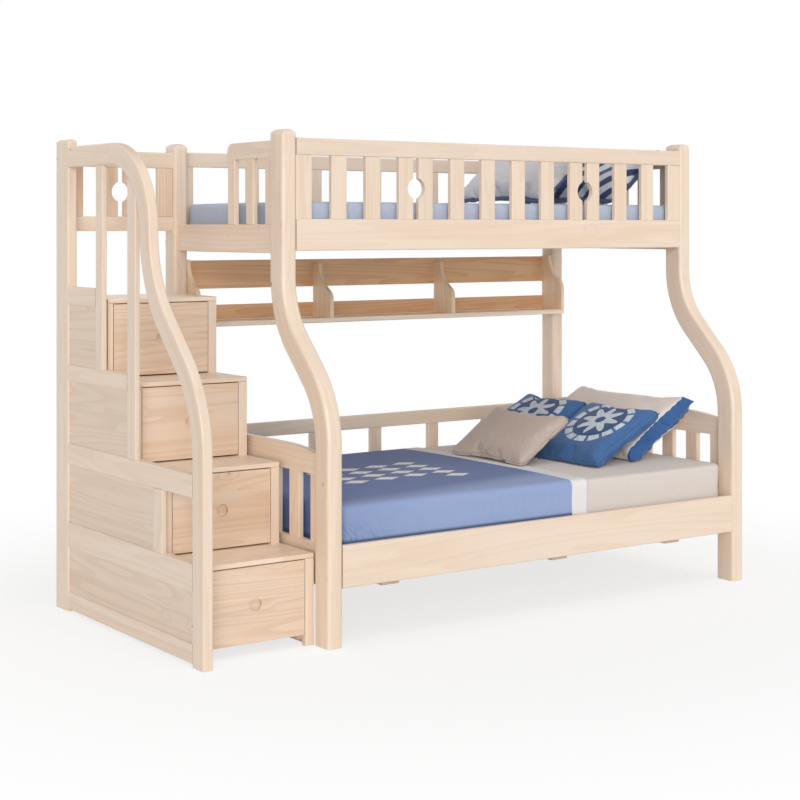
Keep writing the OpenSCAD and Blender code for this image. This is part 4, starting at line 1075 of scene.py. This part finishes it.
# %% Pillows in place
HEAD_END, BACK = 2.577 - MID_X, 1.291 - MID_Y  # where the berths end, and the bed's back
SEAM, PIPING_RADIUS = 0.002, 0.0024
pillows = [
    # node, from end, from back, height, tilt, length, width, plump, border, cloth, edge, slot, bed
    ("pillow_beige", 0.341, 0.650, 0.5102, 33.2, 0.450, 0.765, 0.140, 0.0,
     beige_cloth, ("gathers", None), "beige_fabric", LOWER_TOP),
    ("pillow_blue_front", 0.590, 0.840, 0.5155, 27.8, 0.435, 0.455, 0.112, 0.0,
     blue_cloth, ("piping", blue_plain), "blue_fabric", LOWER_TOP),
    ("pillow_blue_back", 0.590, 0.385, 0.5155, 28.5, 0.430, 0.430, 0.110, 0.0,
     blue_cloth, ("piping", blue_plain), "blue_fabric", LOWER_TOP),
    ("pillow_taupe", 0.837, 0.621, 0.5165, 34.0, 0.330, 0.520, 0.090, 0.0,
     taupe_cloth, ("piping", taupe_cloth), "taupe_fabric", LOWER_TOP + 0.0044),
    ("pillow_grey", 0.680, 0.490, 1.6279, 40.0, 0.380, 0.700, 0.120, 0.03,
     grey_cloth, ("flange", navy_plain), "grey_fabric", UPPER_TOP),
    ("pillow_striped", 0.300, 0.510, 1.6285, 38.0, 0.400, 0.700, 0.130, 0.03,
     striped_cloth, ("flange", navy_plain), "striped_fabric", UPPER_TOP),
]
for number, (node, end, back, z, tilt, length, width, plump, border, cloth, edge, slot,
             bed) in enumerate(pillows):
    trim = SEAM if edge[0] == "piping" else 0.0
    band = None
    thing, rim = make_pillow(node + "_soft", length - 2 * trim, width - 2 * trim, plump,
                             number * 7.3, border)
    matrix = lean_matrix((HEAD_END - end, BACK - back, z), tilt, length)
    if edge[0] == "flange":
        band = flange(node + "_flange", rim, border, edge[1], number * 3.1)
    elif edge[0] == "gathers":
        gather(thing)
    else:
        band = along_line(node + "_piping", rim, PIPING, True,
                          {"Cord radius": PIPING_RADIUS, "Cloth": edge[1]})
        layer = band.data.uv_layers.new(name="cloth")
        for loop in band.data.loops:
            co = band.data.vertices[loop.vertex_index].co
            layer.data[loop.index].uv = (co.y, co.x)
    lay_down(thing, matrix, bed)
    finer = thing.modifiers.new("finer", "SUBSURF")
    finer.levels = finer.render_levels = 1
    apply_all(thing)
    settle(thing, cloth)
    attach(thing, BED)
    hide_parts(node)
    if band:
        lay_down(band, matrix, bed)
        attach(band, BED)
    print(node, "faces:", len(thing.data.polygons), "edge:", edge[0])

# %% [markdown]
# ## Stitches at the trim of the spread
# The white trim is sewn on with one visible row of stitches. The line runs
# over the spread just outside its surface: down the front, across the top
# and down the back. The stitches are drawn 4 mm long at a 6 mm pitch, about
# twice life size, so that they show at all.

# %% Trim stitches
def trim_line(x):
    """Points on the spread's outside at this x, from the front hem to the back hem."""
    lift = SPREAD_GAP + SPREAD_THICK + 0.0012  # clear of the cloth between its points
    sides = []
    for start, way in ((lower_low.y, 1), (lower_low.y + lower_size.y, -1)):
        side = []
        for inset, z in [ring for ring in dense if ring[0] <= LOWER_INSET]:
            on_top = min(1.0, inset / EDGE)
            base = Vector((x, start + way * inset, lower_low.z + z))
            away = lift + spread_fold(base)
            side.append(base + Vector((0, -way * away * (1 - on_top), away * on_top)))
        sides.append(side)
    return sides[0] + sides[1][::-1]


thread = cotton("cotton_thread_white", "#E4E4E8")
PITCH = 0.006
stitches = along_line("spread_trim_stitches", trim_line(TRIM_START + PITCH), STITCHES, False,
                      {"Pitch": PITCH, "Length": 0.004, "Thread radius": 0.0005,
                       "Thread": thread})
stitches.data.uv_layers.new(name="cloth")
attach(stitches, BED)
print("stitch faces:", len(stitches.data.polygons))

# %% [markdown]
# ## Floor, light and camera
# The bed stands on a plain pale floor that fades into a white background
# after a few metres. The light is what a photographer gives pale furniture:
# a bright, even surrounding, a low soft lamp from the front left and a weaker
# one from above the front. Both lamps are far off, so that the deep inside of
# the berths gets as much of them as the front. The camera stands where the
# picture of the real bed was taken from. Floor and surrounding show plain
# white to the camera, and to rays that reach it by way of metal or glass, so
# the background costs no light on the bed.

# %% Floor
def shown(tree):
    """1 for rays that end in the camera without lighting anything on their way."""
    rays = add(tree, "LightPath").outputs
    share = rays["Is Camera Ray"]
    for way in ("Is Glossy Ray", "Is Transmission Ray"):
        share = add(tree, "Math", [share, rays[way]], operation="MAXIMUM")
    return share


floor_mesh = bpy.data.meshes.new("floor")
work = bmesh.new()
bmesh.ops.create_circle(work, cap_ends=True, segments=96, radius=14)
work.to_mesh(floor_mesh)
work.free()
floor = put_in_scene("floor", floor_mesh)
floor.location = (0, 0, -0.0005)  # just below the feet
pale, tree = finish_named("pale_matt_floor")
spot = add(tree, "TexCoord").outputs["Object"]
away = add(tree, "VectorMath", [spot], operation="LENGTH")
fade = add(tree, "MapRange", [away, 1.2, 3.2, 0.74, 1.0], interpolation_type="SMOOTHSTEP")
matt = add(tree, "BsdfPrincipled", {"Base Color": paint("#FBFBFB"), "Roughness": 0.9})
white = add(tree, "Emission", {"Color": (1, 1, 1, 1), "Strength": 1.0})
plain = add(tree, "Math", [shown(tree), fade], operation="MULTIPLY")
both = add(tree, "MixShader", [plain, matt, white])
add(tree, "OutputMaterial", [both])
settle(floor, pale, smooth=False)
print("floor laid")

# %% Light
world = bpy.data.worlds.new("white_studio")
bpy.context.scene.world = world
world.use_nodes = True
tree = world.node_tree
tree.nodes.clear()
level = add(tree, "MapRange", [shown(tree), 0.0, 1.0, 0.44, 1.0])
sky = add(tree, "Background", {"Color": (1, 1, 1, 1), "Strength": level})
add(tree, "OutputWorld", [sky])


def lamp(name, place, spread, level, colour):
    """A far-off soft lamp: place tells its direction only, spread its width as an angle."""
    light = bpy.data.lights.new(name, "SUN")
    light.angle, light.energy = math.radians(spread), math.pi * level
    light.color = paint(colour)[:3]
    thing = put_in_scene(name, light)
    thing.location = place
    thing.rotation_euler = (-Vector(place)).to_track_quat("-Z", "Y").to_euler()


lamp("key_from_the_front_left", (-3.7, -5.4, 1.35), 34, 0.48, "#FFFBF5")
lamp("fill_from_the_front_above", (0.5, -2.8, 6.0), 34, 0.22, "#FFFCF8")
print("surrounding and two lamps")

# %% Camera
camera = bpy.data.cameras.new("camera")
camera.lens, camera.sensor_width = 75.90, 36
camera.shift_x, camera.shift_y = 0.0, -0.2149
eye = put_in_scene("camera", camera)
eye.location = (-4.0825, -5.7590, 1.5212)
eye.rotation_euler = (math.radians(90), 0, math.radians(-35.032))
bpy.context.scene.camera = eye
bpy.context.scene.view_settings.view_transform = "Standard"
print("camera at", tuple(round(c, 3) for c in eye.location))
